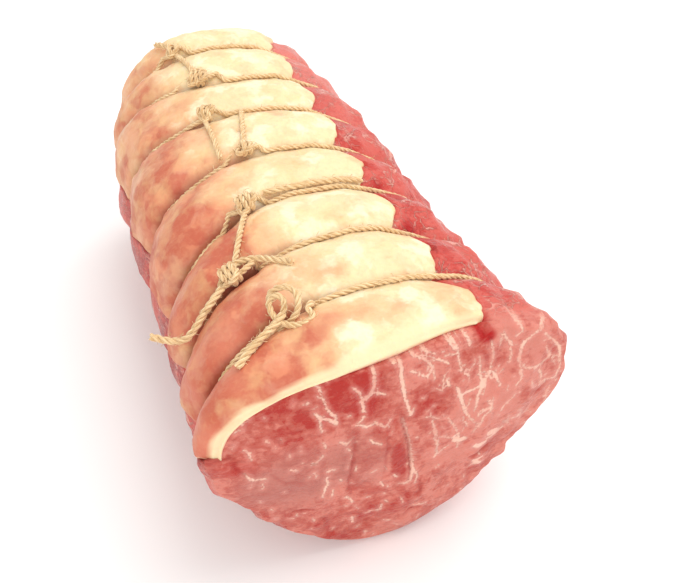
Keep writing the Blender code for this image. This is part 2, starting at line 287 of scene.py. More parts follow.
# The cut face: rings that shrink to its middle, gently domed and a little uneven from the knife.
FACE_BULGE = 0.0055
FACE_WAVES = ((0.026, 5.0, 0.0016), (0.010, 7.0, 0.0011), (0.0045, 9.0, 0.00055))  # width, seed, height
FOLD_WIDTH = 0.0011
FOLD_SHADOW = 0.00075
RIM_CALM = 12  # the waves fade over a twelfth of the way in from the rim
RIM_INSET = 0.993
face_middle = np.array([0.0, 0.0, 0.051])
rim = body[0]
shares = np.linspace(0, 1, FACE_RINGS + 1)[1:]
face_rings = []
for share in shares[:-1]:
    ring = face_middle + (rim - face_middle) * share
    ring[:, 1] = FRONT - FACE_BULGE * (1 - share ** 2)
    face_rings.append(ring)
face = np.array(face_rings)
flat = face.reshape(-1, 3)
FOLDS = (  # tears and seams between the bundles of muscle, along each: x, z and depth, in mm
    ((2.9, 73.1, 0.6), (3.6, 66.8, 0.9), (5.5, 58.2, 1.0), (6.7, 46.7, 0.9), (6.1, 37.9, 0.5)),
    ((-15.3, 68.6, 0.4), (-14.5, 63.9, 0.7), (-16.2, 55.8, 0.8), (-17.2, 47.1, 0.6), (-16.1, 37.1, 0.3)),
    ((-37.6, 36.8, 0.6), (-34.7, 36.8, 0.9), (-31.6, 36.9, 0.4)),
    ((5.4, 15.5, 0.4), (8.1, 17.9, 0.8), (12.8, 16.7, 0.5)),
    ((-58.2, 74.3, 0.6), (-56.7, 69.0, 1.0), (-53.9, 65.1, 0.6)),
    ((-42.7, 78.3, 0.3), (-41.4, 76.6, 0.7), (-40.2, 77.3, 0.3)),
    ((-2.5, 65.0, 0.5), (-3.5, 56.6, 0.6), (-3.9, 47.6, 0.4)),
    ((-27.6, 28.9, 0.4), (-25.7, 27.4, 0.8), (-24.8, 22.3, 0.4)),
    ((9.3, 28.1, 0.5), (12.1, 28.8, 0.8), (11.1, 33.2, 0.4)),
    ((-37.9, 82.8, 0.3), (-33.5, 79.4, 0.5)),
    ((-44.8, 62.3, 0.3), (-40.4, 56.8, 0.5), (-35.6, 55.5, 0.3)),
    ((57.5, 60.6, 0.5), (59.5, 62.2, 0.8), (63.8, 64.6, 0.5)),
    ((33.0, 37.8, 0.6), (36.7, 38.1, 0.9), (41.1, 40.7, 0.6)),
    ((46.5, 106.6, 0.4), (42.3, 103.5, 0.6)),
    ((-68.4, 76.3, 0.6), (-64.9, 73.1, 0.9), (-61.4, 74.9, 0.5)),
)


def points_along(lines, gap):
    """Points (x, z, third value) in metres about gap mm apart along lines given in mm."""
    spread = []
    for line in lines:
        for start, stop in zip(np.array(line), np.array(line)[1:]):
            steps = max(1, int(np.hypot(*(stop - start)[:2]) / gap))
            shares_along = np.linspace(0, 1, steps + 1)
            spread += [(start + (stop - start) * share) / 1000 for share in shares_along]
    return spread


def nearest(lines):
    """A search tree over points (x, z, ...)."""
    tree = kdtree.KDTree(len(lines))
    for index, line_point in enumerate(lines):
        tree.insert((line_point[0], 0, line_point[1]), index)
    tree.balance()
    return tree


fold_points = points_along(FOLDS, 0.4)
fold_tree = nearest(fold_points)


def fold_depths(places, width):
    """How deep the folds are at each place (x, y, z), for folds of that width."""
    depths = []
    for x, _, z in places.tolist():
        _, index, distance = fold_tree.find((x, 0, z))
        depths.append(fold_points[index][2] * math.exp(-(distance / width) ** 2))
    return np.array(depths)


waves = lumpy(flat, FACE_WAVES) + fold_depths(flat, FOLD_WIDTH)
face[..., 1] += waves.reshape(face.shape[:2]) * np.minimum(1, (1 - shares[:-1]) * RIM_CALM)[:, None]
body[0] = face_middle + (rim - face_middle) * RIM_INSET
body[0, :, 1] = FRONT

# The back end: rings that close over a shallow dome.
back_middle = np.array([0.0, BACK, 0.062])
back_rings = []
for share in np.linspace(1, 0, DOME_RINGS + 1)[1:-1]:
    ring = back_middle + (body[-1] - back_middle) * share
    ring[:, 1] = body[-1, :, 1] + (BACK - body[-1, :, 1]) * math.sqrt(1 - share ** 2)
    back_rings.append(ring)
rings = np.concatenate([face, body, np.array(back_rings)])
points = rings.reshape(-1, 3)
front_tip = face_middle + np.array([0, FRONT - FACE_BULGE, 0])
points = np.concatenate([points, [front_tip], [back_middle]])
count = len(rings) * LEAN_COLUMNS
faces = ring_faces(len(rings), LEAN_COLUMNS)
for k in range(LEAN_COLUMNS):
    after = (k + 1) % LEAN_COLUMNS
    faces.append((k, after, count))
    faces.append((count - LEAN_COLUMNS + after, count - LEAN_COLUMNS + k, count + 1))
lean = mesh_piece("lean_muscle", points, faces)

# The marbling: white fat that branches through the cut face, densest at its upper right. The main
# veins are laid out one by one; short flecks that wander and fork lie scattered between them.
VEIN_STEP = 0.0005
VEIN_WOBBLE = 0.00013
VEIN_KEPT = (0.16, 0.50)  # the share of its half width that a main vein keeps, from place to place
THICK_VEIN = 0.0013  # the half width past which it swells into a blot
BRANCHED_FLECKS = 46
SMALL_FLECKS = 150
MAIN_VEINS = (  # along each: x, z and half the width, in mm
    (
        (62.5, 100.1, 0.5), (61.2, 95.0, 0.6), (54.8, 91.5, 0.7), (49.7, 88.1, 1.4), (48.7, 82.7, 0.7),
        (50.3, 74.5, 0.5), (48.2, 70.9, 0.2),
    ),
    (
        (59.4, 90.0, 0.4), (63.3, 85.6, 0.9), (66.8, 81.2, 1.0), (68.7, 71.3, 0.4), (67.3, 66.2, 0.8),
        (59.7, 66.7, 0.6),
    ),
    ((60.6, 83.4, 0.3), (63.2, 77.6, 0.6), (59.1, 75.8, 0.6), (50.7, 78.2, 0.4)),
    ((64.1, 76.2, 0.5), (66.6, 72.6, 0.4)),
    (
        (34.2, 99.3, 0.3), (36.8, 94.5, 0.5), (37.7, 87.5, 0.5), (37.2, 80.9, 0.6), (34.2, 77.1, 1.4),
        (32.3, 72.4, 0.8), (31.8, 65.3, 0.3),
    ),
    ((37.2, 80.9, 0.5), (39.4, 78.5, 0.7), (41.2, 73.5, 0.3)),
    ((34.3, 76.0, 0.9), (29.2, 75.5, 0.6), (24.8, 75.2, 1.5), (23.0, 80.2, 0.5)),
    ((24.8, 75.2, 1.2), (27.4, 67.6, 0.7), (29.1, 63.5, 0.2)),
    ((28.2, 105.1, 1.0), (27.4, 101.0, 0.8), (28.5, 95.0, 1.0)),
    ((32.0, 89.5, 0.4), (33.0, 81.9, 0.5), (34.2, 76.6, 0.7)),
    ((41.7, 95.9, 0.4), (45.4, 89.6, 0.8), (45.3, 82.3, 0.3)),
    ((18.5, 101.6, 0.3), (23.1, 95.1, 0.8), (22.3, 99.3, 0.4)),
    ((23.4, 96.5, 0.5), (25.2, 85.7, 0.5), (28.5, 82.4, 0.4)),
    ((8.3, 101.1, 0.3), (10.9, 97.8, 0.6), (15.4, 95.0, 0.4)),
    ((4.2, 98.2, 0.5), (11.1, 94.8, 0.6), (14.6, 90.0, 0.6), (12.4, 87.0, 0.6), (6.5, 91.4, 0.4)),
    ((16.8, 92.7, 0.5), (20.3, 90.3, 0.4)),
    ((19.2, 83.7, 0.8), (20.2, 81.2, 0.6)),
    ((46.2, 108.6, 0.6), (48.4, 102.1, 0.9), (48.5, 96.1, 0.5)),
    ((41.3, 108.2, 0.5), (44.6, 102.3, 0.6), (48.4, 99.1, 0.6)),
    ((34.9, 110.1, 0.6), (39.4, 110.2, 0.4)),
    ((58.6, 73.8, 0.7), (60.3, 68.7, 0.5)),
    ((20.6, 65.7, 0.5), (22.6, 62.0, 0.6), (25.0, 57.0, 0.3)),
    ((17.8, 57.4, 0.3), (23.3, 54.4, 0.6), (25.7, 55.3, 0.6), (25.8, 48.3, 0.3)),
    ((14.6, 65.8, 0.4), (15.7, 59.6, 0.5), (17.1, 55.0, 0.3)),
    ((28.0, 60.5, 0.4), (29.2, 57.7, 0.4)),
    ((25.7, 71.6, 0.4), (27.8, 65.2, 0.7), (31.7, 59.0, 0.3)),
    ((33.9, 55.8, 0.4), (35.2, 59.9, 0.4)),
    ((38.5, 46.7, 0.8), (42.6, 47.5, 1.6), (45.8, 48.0, 0.7)),
    ((49.3, 52.6, 0.8), (53.1, 52.3, 0.9)),
    ((34.6, 30.7, 0.8), (37.1, 34.1, 1.1), (38.9, 34.6, 0.5)),
    ((-7.1, 97.1, 1.0), (-7.4, 89.9, 1.1), (-8.8, 86.5, 1.3), (-11.9, 84.9, 1.4), (-11.6, 80.8, 0.6)),
    ((-7.3, 86.3, 0.8), (-3.3, 84.5, 0.3)),
    ((-14.8, 91.5, 0.5), (-13.0, 89.7, 0.5), (-11.9, 86.1, 0.5)),
    ((2.6, 95.5, 1.3), (2.6, 88.2, 1.2), (3.9, 80.1, 0.9), (5.8, 72.8, 0.7), (6.9, 75.7, 0.5)),
    ((-1.4, 99.2, 1.6), (0.4, 97.0, 1.6)),
    (
        (3.3, 70.8, 0.5), (5.0, 61.9, 0.9), (6.8, 52.2, 1.1), (7.5, 44.5, 1.0), (6.8, 37.6, 0.9),
        (4.5, 37.2, 0.5),
    ),
    ((7.5, 44.5, 0.8), (9.8, 39.7, 0.5), (9.3, 35.0, 0.3)),
    ((-14.7, 75.5, 0.4), (-10.4, 72.7, 0.5), (-7.3, 73.4, 0.6), (-3.6, 70.6, 0.5), (-1.4, 72.7, 0.5)),
    ((-11.7, 78.0, 0.9), (-13.8, 75.9, 0.6)),
    ((-20.4, 69.4, 0.6), (-17.7, 67.0, 1.0), (-15.9, 68.8, 0.5)),
    ((-9.4, 66.6, 0.4), (-8.4, 64.9, 0.5), (-5.6, 63.2, 0.4)),
    ((-28.7, 85.5, 0.6), (-27.0, 82.9, 1.0), (-26.9, 76.7, 0.4)),
    ((-27.0, 82.9, 0.8), (-23.9, 81.2, 0.8), (-21.5, 78.6, 1.1), (-22.1, 82.9, 0.5)),
    ((-25.7, 91.4, 0.5), (-24.1, 85.3, 0.7), (-22.4, 82.6, 0.6)),
    ((-28.4, 97.7, 0.5), (-26.8, 95.2, 0.7), (-25.7, 92.9, 0.4)),
    ((-33.0, 101.2, 0.7), (-32.5, 99.2, 0.5)),
    ((-23.6, 97.8, 0.7), (-23.1, 96.1, 0.4)),
    ((-32.0, 89.5, 0.5), (-30.6, 90.1, 0.6)),
    ((-54.1, 89.4, 0.5), (-52.4, 86.8, 0.8), (-51.6, 86.8, 0.3)),
    ((-50.4, 88.6, 0.5), (-50.3, 87.9, 0.5)),
    ((-43.0, 96.5, 0.6), (-42.3, 95.4, 0.6)),
    ((-45.5, 78.3, 0.5), (-44.7, 77.6, 0.5)),
    ((-53.0, 76.1, 0.3), (-51.5, 74.2, 0.6), (-51.1, 71.2, 0.4)),
    ((-26.4, 70.7, 0.5), (-25.6, 68.2, 0.5)),
    ((-31.1, 62.8, 0.4), (-29.0, 61.9, 0.5), (-26.8, 64.9, 0.3)),
    ((-25.8, 53.8, 0.5), (-25.3, 48.1, 0.6), (-27.6, 43.0, 0.5)),
    ((-30.3, 58.5, 0.4), (-29.8, 56.0, 0.4)),
    ((-25.8, 56.9, 0.4), (-24.2, 57.1, 0.5), (-22.7, 56.9, 0.3)),
    ((-22.9, 44.1, 0.4), (-23.8, 41.7, 0.5)),
    ((-20.6, 50.0, 0.5), (-20.0, 47.5, 0.4)),
    ((-18.4, 37.7, 0.4), (-16.1, 35.2, 0.6), (-15.5, 32.9, 0.3)),
    ((-10.1, 23.2, 0.5), (-8.4, 24.9, 0.8), (-4.6, 23.6, 0.6), (-3.8, 27.3, 0.3)),
    ((-15.1, 22.6, 0.5), (-14.8, 18.8, 0.8)),
    ((-2.3, 14.6, 0.5), (0.2, 13.9, 0.4)),
    ((-30.8, 30.5, 0.5), (-30.5, 28.8, 0.5)),
    ((-36.7, 34.4, 0.4), (-36.5, 33.3, 0.4)),
    ((-22.5, 18.1, 0.5), (-22.7, 16.6, 0.5)),
    ((-54.1, 65.7, 0.4), (-52.3, 62.5, 0.9), (-50.1, 61.3, 0.8), (-47.2, 60.8, 0.6)),
    ((-38.3, 69.8, 0.4), (-38.1, 68.9, 0.4)),
    ((-16.5, 59.5, 0.5), (-15.9, 60.1, 0.4)),
    ((-38.8, 63.6, 0.4), (-36.5, 62.3, 0.4)),
    ((-0.2, 44.6, 0.5), (1.2, 42.5, 0.4)),
    ((-5.4, 42.7, 0.9), (-4.4, 40.3, 0.8)),
    ((3.8, 28.7, 0.5), (4.2, 26.4, 0.4)),
    ((9.8, 19.7, 0.4), (14.8, 18.8, 0.4)),
    ((8.0, 5.6, 0.6), (9.8, 5.3, 0.4)),
    ((-9.2, 8.5, 0.5), (-8.1, 7.9, 0.4)),
    ((14.4, 66.8, 0.4), (16.3, 59.1, 0.5)),
    ((15.7, 57.5, 0.6), (17.0, 53.4, 0.5), (16.5, 46.2, 0.6)),
    ((24.4, 53.2, 1.5), (26.6, 51.5, 1.6), (28.6, 51.2, 1.3)),
    ((33.4, 45.4, 1.4), (36.0, 44.2, 1.6), (38.2, 44.6, 1.4)),
    ((39.0, 50.4, 1.5), (40.5, 49.6, 1.7), (43.5, 48.6, 1.4)),
    ((35.0, 34.0, 1.3), (36.8, 31.4, 1.6), (38.6, 30.4, 1.3)),
)
rng = np.random.default_rng(11)


def wandering_vein(x, z, heading, length, width, forks):
    """The points (x, z, half width) along a small vein and along the forks that leave it."""
    trail, bend = [], 0.0
    for step in range(int(length / VEIN_STEP)):
        spent = step * VEIN_STEP / length
        bend = bend * 0.88 + rng.normal(0, 0.10)
        heading += bend * 0.35
        x += math.cos(heading) * VEIN_STEP
        z += math.sin(heading) * VEIN_STEP
        trail.append((x, z, width * (1 - spent ** 2)))
        if forks and rng.random() < 0.05:
            turn = rng.choice([-1, 1]) * rng.uniform(0.5, 1.2)
            shorter = length * rng.uniform(0.3, 0.6)
            trail += wandering_vein(x, z, heading + turn, shorter, width * 0.75, forks - 1)
    return trail


vein_points = []
for x, z, half in points_along(MAIN_VEINS, 0.4):
    wobble = rng.normal(0, VEIN_WOBBLE, 2)
    wide = half * rng.uniform(*VEIN_KEPT) + max(0, half - THICK_VEIN) * 2
    vein_points.append((x + wobble[0], z + wobble[1], wide))
for _ in range(BRANCHED_FLECKS):
    x, z = 0.070 - 0.06 * rng.random() ** 1.3, rng.uniform(0.045, 0.100)
    heading, length, width = rng.normal(1.9, 0.8), rng.uniform(0.003, 0.010), rng.uniform(0.0, 0.0002)
    vein_points += wandering_vein(x, z, heading, length, width, 2)
for _ in range(SMALL_FLECKS):
    x, z = rng.uniform(-0.062, 0.072), rng.uniform(0.003, 0.100)
    heading, length, width = rng.normal(1.7, 0.8), rng.uniform(0.001, 0.003), rng.uniform(-0.0001, 0.0001)
    vein_points += wandering_vein(x, z, heading, length, width, 0)
veins = nearest(vein_points)
vein_gap = []
for x, _, z in points.tolist():
    near = veins.find_n((x, 0, z), 4)
    vein_gap.append(min(distance - vein_points[index][2] for _, index, distance in near))
store(lean, "vein_gap", np.clip(np.array(vein_gap) * 1000, -1, 4))

# The cut's look: whole on the face, and it runs a little way round the upper right edge.
face_count = len(face) * LEAN_COLUMNS
on_face = np.zeros(len(points))
on_face[:face_count] = 1
on_face[count] = 1
rolled = body[..., 1] - FRONT
turned = 0.0015 + 0.0125 * soft_peak(side - 52, 36)  # how far back it reaches, most at the upper right
on_face[face_count:face_count + rolled.size] = np.clip(1.25 - rolled / turned * 1.1, 0, 1).ravel()
store(lean, "cut_face", on_face)


def spot(x, z, wide, high, lean_over=0.0):
    """1 in the middle of a soft oval spot on the cut face, falling to 0 at its edge; sizes in mm."""
    across, up = points[:, 0] * 1000 - x, points[:, 2] * 1000 - z
    return np.clip(1.35 - 1.35 * np.hypot((across + up * lean_over) / wide, up / high) ** 2, 0, 1)


REDNESS_LUMPS = ((0.016, 41.0, 0.30), (0.005, 43.0, 0.12))
DULL_LUMPS = ((0.012, 47.0, 0.25),)
REDNESS_SPOTS = (  # x, z, width, height and slope of each spot, and how much redder it is
    (-28, 90, 32, 15, 0.0, 0.60), (1.8, 50, 4.2, 12, 0.10, 0.9), (-11, 82, 13, 8, 0.0, 0.40),
    (45, 58, 30, 26, 0.0, -0.30), (20, 35, 16, 14, 0.0, -0.25), (54, 94, 16, 13, 0.0, -0.35),
)
redness = 0.30 + lumpy(points, REDNESS_LUMPS)
for x, z, wide, high, slope, redder in REDNESS_SPOTS:
    redness += redder * spot(x, z, wide, high, slope)
store(lean, "redness", np.clip(redness, 0, 1))
dullness = spot(-38, 55, 24, 20) * 0.8 + spot(-12, 58, 13, 18) * 0.5 + lumpy(points, DULL_LUMPS)
store(lean, "dullness", np.clip(dullness, 0, 1) * on_face)
store(lean, "blood", spot(35, 97, 4.2, 3.6) + spot(-57, 69, 9, 5) * 0.35)
store(lean, "fold", np.clip(fold_depths(points, FOLD_SHADOW) * 1000, 0, 1) * on_face)


def joined(tree, kind, sockets, **settings):
    """A new node with its settings, and its sockets set to values or linked to other nodes."""
    node = tree.nodes.new(kind)
    for name, value in settings.items():
        setattr(node, name, value)
    for name, value in sockets.items():
        if isinstance(value, bpy.types.NodeSocket):
            tree.links.new(value, node.inputs[name])
        else:
            node.inputs[name].default_value = value
    return node


def paint(material_name):
    """A new material, its node tree and its shader."""
    material = bpy.data.materials.new(material_name)
    material.use_nodes = True
    return material, material.node_tree, material.node_tree.nodes["Principled BSDF"]


def blended(tree, share, low, high):
    """The colour low turning to high as share goes from 0 to 1."""
    node = joined(tree, "ShaderNodeMix", {}, data_type="RGBA")
    for socket, value in ((node.inputs[0], share), (node.inputs[6], low), (node.inputs[7], high)):
        if isinstance(value, bpy.types.NodeSocket):
            tree.links.new(value, socket)
        elif isinstance(value, tuple):
            socket.default_value = (*value, 1)
        else:
            socket.default_value = value
    return node.outputs[2]


def ranged(tree, value, start, stop, low=0.0, high=1.0):
    """A value that eases from low to high as another goes from start to stop."""
    sockets = {0: value, 1: start, 2: stop, 3: low, 4: high}
    return joined(tree, "ShaderNodeMapRange", sockets, interpolation_type="SMOOTHSTEP").outputs[0]


def calculated(tree, operation, *values):
    return joined(tree, "ShaderNodeMath", dict(enumerate(values)), operation=operation).outputs[0]


def plus(tree, value, other):
    return calculated(tree, "ADD", value, other)


def times(tree, value, other):
    return calculated(tree, "MULTIPLY", value, other)


def read(tree, name, output="Fac"):
    """A value stored on the piece's points."""
    return joined(tree, "ShaderNodeAttribute", {}, attribute_name=name).outputs[output]


def noise_in(tree, places, scale, detail, roughness=0.5, output=0):
    """Soft noise from 0 to 1 at places, or with the output "Color" three such values."""
    sockets = {"Vector": places, "Scale": scale, "Detail": detail, "Roughness": roughness}
    return joined(tree, "ShaderNodeTexNoise", sockets).outputs[output]


def scaled(tree, places, scale):
    """Places or directions stretched by a scale, or by one for each axis."""
    if isinstance(scale, tuple):
        return joined(tree, "ShaderNodeVectorMath", {0: places, 1: scale}, operation="MULTIPLY").outputs[0]
    return joined(tree, "ShaderNodeVectorMath", {0: places, "Scale": scale}, operation="SCALE").outputs[0]


def summed(tree, places, others):
    return joined(tree, "ShaderNodeVectorMath", {0: places, 1: others}).outputs[0]


def pushed_about(tree, places, scale, far):
    """Places that soft noise moves, so that a pattern on them wanders."""
    return summed(tree, places, scaled(tree, noise_in(tree, places, scale, 3.0, output="Color"), far))


def raise_relief(tree, shader, height, strength, distance):
    """Fine relief on the surface, that distance high for each unit of height."""
    bump = joined(tree, "ShaderNodeBump", {"Height": height, "Strength": strength, "Distance": distance})
    tree.links.new(bump.outputs[0], shader.inputs["Normal"])


PALE_FLESH = (0.64, 0.205, 0.155)
PLAIN_FLESH = (0.50, 0.100, 0.070)
RED_FLESH = (0.41, 0.022, 0.014)
DULL_FLESH = (0.44, 0.150, 0.120)
# the left side's own dull purple-red, darkened as painted shade
LEFT_SIDE_AND_SHADE = (0.40, 0.070, 0.060)
RIGHT_SIDE = (0.53, 0.045, 0.032)
PALE_SIDE = (0.64, 0.120, 0.092)
DARK_SIDE = (0.34, 0.014, 0.010)
BACK_OF_SIDE = (0.74, 0.230, 0.190)
VEIN_FAT = (0.89, 0.54, 0.42)
VEIN_HALO = (0.74, 0.310, 0.250)
FOLD_SHADE = (0.36, 0.022, 0.016)
MEMBRANE = (0.80, 0.37, 0.30)
BLOOD = (0.42, 0.003, 0.002)


def lean_material():
    """Raw beef: red flesh with pale marbling on the cut face and silvery membrane on the sides."""
    material, tree, shader = paint("raw lean beef")
    here = joined(tree, "ShaderNodeTexCoord", {}).outputs["Object"]
    xyz = joined(tree, "ShaderNodeSeparateXYZ", {0: here}).outputs
    cut_face = read(tree, "cut_face")
    patches = noise_in(tree, here, 75.0, 5.0, 0.62)
    grain = noise_in(tree, here, 520.0, 4.0, 0.65)
    knife = noise_in(tree, scaled(tree, here, (0.30, 1.0, 1.0)), 760.0, 3.0)
    wandering = pushed_about(tree, here, 60.0, 0.035)
    bundles = joined(tree, "ShaderNodeTexVoronoi", {"Vector": wandering, "Scale": 210.0})
    shade = joined(tree, "ShaderNodeSeparateXYZ", {0: bundles.outputs["Color"]}).outputs[0]

    # The flesh is redder in patches, from one bundle of fibres to the next and where the knife drew.
    tone = plus(tree, read(tree, "redness"), ranged(tree, patches, 0.32, 0.68, 0.34, -0.34))
    tone = plus(tree, tone, ranged(tree, grain, 0.30, 0.70, 0.16, -0.16))
    tone = plus(tree, tone, ranged(tree, shade, 0.0, 1.0, 0.17, -0.17))
    tone = plus(tree, tone, ranged(tree, knife, 0.35, 0.70, -0.10, 0.14))
    flesh = blended(tree, ranged(tree, tone, -0.05, 0.50), PALE_FLESH, PLAIN_FLESH)
    flesh = blended(tree, ranged(tree, tone, 0.45, 1.05), flesh, RED_FLESH)
    flesh = blended(tree, times(tree, read(tree, "dullness"), 0.8), flesh, DULL_FLESH)
    # The left side is its own dull purple-red, and darker than the right partly as painted shade on the side
    # away from the key light.
    side = blended(tree, ranged(tree, xyz[0], -0.03, 0.03), LEFT_SIDE_AND_SHADE, RIGHT_SIDE)
    side = blended(tree, ranged(tree, tone, 0.50, 0.0, 0.0, 0.85), side, PALE_SIDE)
    side = blended(tree, ranged(tree, tone, 0.55, 0.95, 0.0, 0.85), side, DARK_SIDE)
    side = blended(tree, ranged(tree, xyz[1], -0.02, 0.10, 0.0, 0.75), side, BACK_OF_SIDE)
    colour = blended(tree, cut_face, side, flesh)

    # The veins: fine noise breaks up their edges, and a pale halo blends them into the flesh.
    breaks = noise_in(tree, here, 1100.0, 2.0)
    gap = plus(tree, read(tree, "vein_gap"), ranged(tree, breaks, 0.25, 0.75, -0.18, 0.28))
    vein = times(tree, ranged(tree, gap, 0.60, 0.02), ranged(tree, patches, 0.30, 0.55, 0.45, 1.0))
    vein = times(tree, vein, cut_face)
    halo = times(tree, ranged(tree, gap, 2.2, 0.2, 0.0, 0.42), cut_face)
    colour = blended(tree, halo, colour, VEIN_HALO)
    colour = blended(tree, times(tree, vein, 0.90), colour, VEIN_FAT)
    colour = blended(tree, times(tree, read(tree, "fold"), 0.8), colour, FOLD_SHADE)

    # The membrane on the sides: a web of strands drawn along the roll, and patches of film.
    drawn = scaled(tree, wandering, (1.0, 0.5, 1.0))
    webs = joined(tree, "ShaderNodeTexVoronoi", {"Vector": drawn, "Scale": 150.0}, feature="DISTANCE_TO_EDGE")
    film = noise_in(tree, wandering, 85.0, 5.0, 0.7)
    web = times(tree, ranged(tree, webs.outputs[0], 0.085, 0.015), ranged(tree, film, 0.44, 0.58))
    skin = calculated(tree, "MAXIMUM", times(tree, web, 0.85), ranged(tree, film, 0.56, 0.66, 0.0, 0.7))
    skin = times(tree, skin, calculated(tree, "SUBTRACT", 1.0, cut_face))
    colour = blended(tree, skin, colour, MEMBRANE)
    colour = blended(tree, read(tree, "blood"), colour, BLOOD)
    tree.links.new(colour, shader.inputs["Base Color"])

    height = plus(tree, times(tree, grain, 0.9), times(tree, knife, 0.7))
    height = plus(tree, height, times(tree, patches, 2.0))
    height = plus(tree, height, times(tree, vein, 0.5))
    height = plus(tree, height, skin)
    raise_relief(tree, shader, height, 0.9, 0.0009)
    tree.links.new(ranged(tree, patches, 0.35, 0.65, 0.30, 0.50), shader.inputs["Roughness"])
    shader.inputs["Specular IOR Level"].default_value = 0.25
    shader.inputs["Subsurface Weight"].default_value = 0.12
    shader.inputs["Subsurface Radius"].default_value = (1.0, 0.25, 0.15)
    shader.inputs["Subsurface Scale"].default_value = 0.003
    shader.inputs["Coat Weight"].default_value = 0.08
    shader.inputs["Coat Roughness"].default_value = 0.18
    return material


lean.data.materials.append(lean_material())
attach(lean, "root")
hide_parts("lean")

# --- The fat cap --------------------------------------------------------------------------------
# A sheet of firm beef fat left on the muscle, waxy and cream to peach. It swells into soft pillows
# between the ties, is creased and puckered where they bite, and shows its pale cut edge in front.
FAT_COLUMNS = 150
FAT_LAYERS = 7  # points from the outer face to the inner one, at each cut edge
FAT_OVERLAP = 1.2  # degrees that it reaches past the step in the lean
EDGE_ROUND = 0.0026
END_ROUND = 0.0030
END_ROUND_LEFT = 0.0028  # how much more than that, to the left
END_BOW = 0.0007
PILLOW_LEFT = 0.0036
PILLOW_TOP = 0.0018
CREASE_LEFT = 0.0036
CREASE_RIGHT = 0.0009
CREASE_WIDTH = 0.0016
CREASE_SHADOW = 0.0025
PUCKER_HEIGHT = 0.0012
PUCKER_REACH = 0.0055
FAT_LUMPS = ((0.020, 13.0, 0.0012), (0.007, 17.0, 0.00060), (0.0026, 19.0, 0.00022))  # width, seed, height
RECESS_DEGREES = (50, 69, 87, 105, 118)  # where its front edge draws back, from right to left,
RECESS = (0.0065, 0.0045, 0.0030, 0.0010, 0.0)  # and by how much
RECESS_REACH = 0.018

fat_stations = stations_between(FRONT + 0.002, FAT_BACK - 0.002, 0.0009, 0.0019)
fat_stations = np.concatenate([
    FRONT + np.array([0, 0.0002, 0.0006, 0.0012]),
    fat_stations,
    FAT_BACK - np.array([0.0012, 0.0006, 0.0002, 0]),
])
right = np.interp(fat_stations, stations, fat_right) - FAT_OVERLAP
left = np.interp(fat_stations, stations, fat_left) + FAT_OVERLAP
across = np.linspace(0, 1, FAT_COLUMNS)
fat_degrees = right[:, None] + (left - right)[:, None] * across
row_s = np.repeat(fat_stations[:, None], FAT_COLUMNS, 1)
recess = np.interp(fat_degrees, RECESS_DEGREES, RECESS)
fat_s = row_s + recess * np.exp(-(row_s - FRONT) / RECESS_REACH)
fat_a = np.radians(fat_degrees)


def roll_radius(s, a):
    """The roll's smooth outer radius at any station and angle."""
    row = np.interp(s, stations, np.arange(len(stations)))
    column = (a % (2 * math.pi)) / (2 * math.pi) * LEAN_COLUMNS
    r0, c0 = np.minimum(row.astype(int), len(stations) - 2), column.astype(int)
    fr, fc = row - r0, column - c0
    c0, c1 = c0 % LEAN_COLUMNS, (c0 + 1) % LEAN_COLUMNS
    near = outer[r0, c0] * (1 - fc) + outer[r0, c1] * fc
    far = outer[r0 + 1, c0] * (1 - fc) + outer[r0 + 1, c1] * fc
    return near * (1 - fr) + far * fr


def corner_drop(distance, radius):
    """How far a face sinks, at a distance from an edge that is rounded with a radius."""
    inside = np.clip(radius - distance, 0, radius)
    return radius - np.sqrt(radius ** 2 - inside ** 2)


base = roll_radius(fat_s, fat_a)
where = on_roll(fat_s, fat_a, base).reshape(-1, 3)


def fat_noise(scale, seed, stretch=1.0):
    """Soft noise over the cap, which can be drawn out along the roll."""
    return smooth_noise(where * [1, 1 / stretch, 1], scale, seed).reshape(fat_s.shape)


tie_gap = tie_distance(fat_s)
leftness = eased((fat_degrees - 84) / 52)
rightness = np.clip((70 - fat_degrees) / 20, 0, 1)
firm = 1 - 0.6 * np.clip((fat_s + 0.035) / 0.05, 0, 1)  # towards the back the left side swells less
swell = PILLOW_TOP + (PILLOW_LEFT * firm - PILLOW_TOP) * leftness
front_fade = np.clip((fat_s - FRONT) / 0.012, 0, 1)
lift = swell * (pillow(fat_s) - PILLOW_LEVEL) * (0.35 + 0.65 * front_fade)
lift -= (CREASE_LEFT * firm * leftness + CREASE_RIGHT * rightness) * soft_peak(tie_gap, CREASE_WIDTH)
puckers = fat_noise(0.0042, 21.0, 3.0) * np.exp(-tie_gap / PUCKER_REACH) * (0.25 + 0.75 * leftness)
lift += puckers * PUCKER_HEIGHT + lumpy(where, FAT_LUMPS).reshape(fat_s.shape)
from_right = np.radians(fat_degrees - right[:, None]) * base
from_left = np.radians(left[:, None] - fat_degrees) * base
lift -= corner_drop(from_right, EDGE_ROUND) + corner_drop(from_left, EDGE_ROUND)
front_drop = corner_drop(row_s - FRONT, END_ROUND + END_ROUND_LEFT * leftness)
ends = front_drop + corner_drop(FAT_BACK - row_s, END_ROUND)
fat_outer = base + lift - ends
fat_inner = base - fat_depth(fat_s, fat_degrees)
layers = np.linspace(0, 1, FAT_LAYERS)


def fat_block(row):
    """One section of the cap: its points from the outer face (layer 0) to the inner one."""
    radii = fat_outer[row] + (fat_inner[row] - fat_outer[row]) * layers[:, None]
    return on_roll(fat_s[row], fat_a[row], radii)


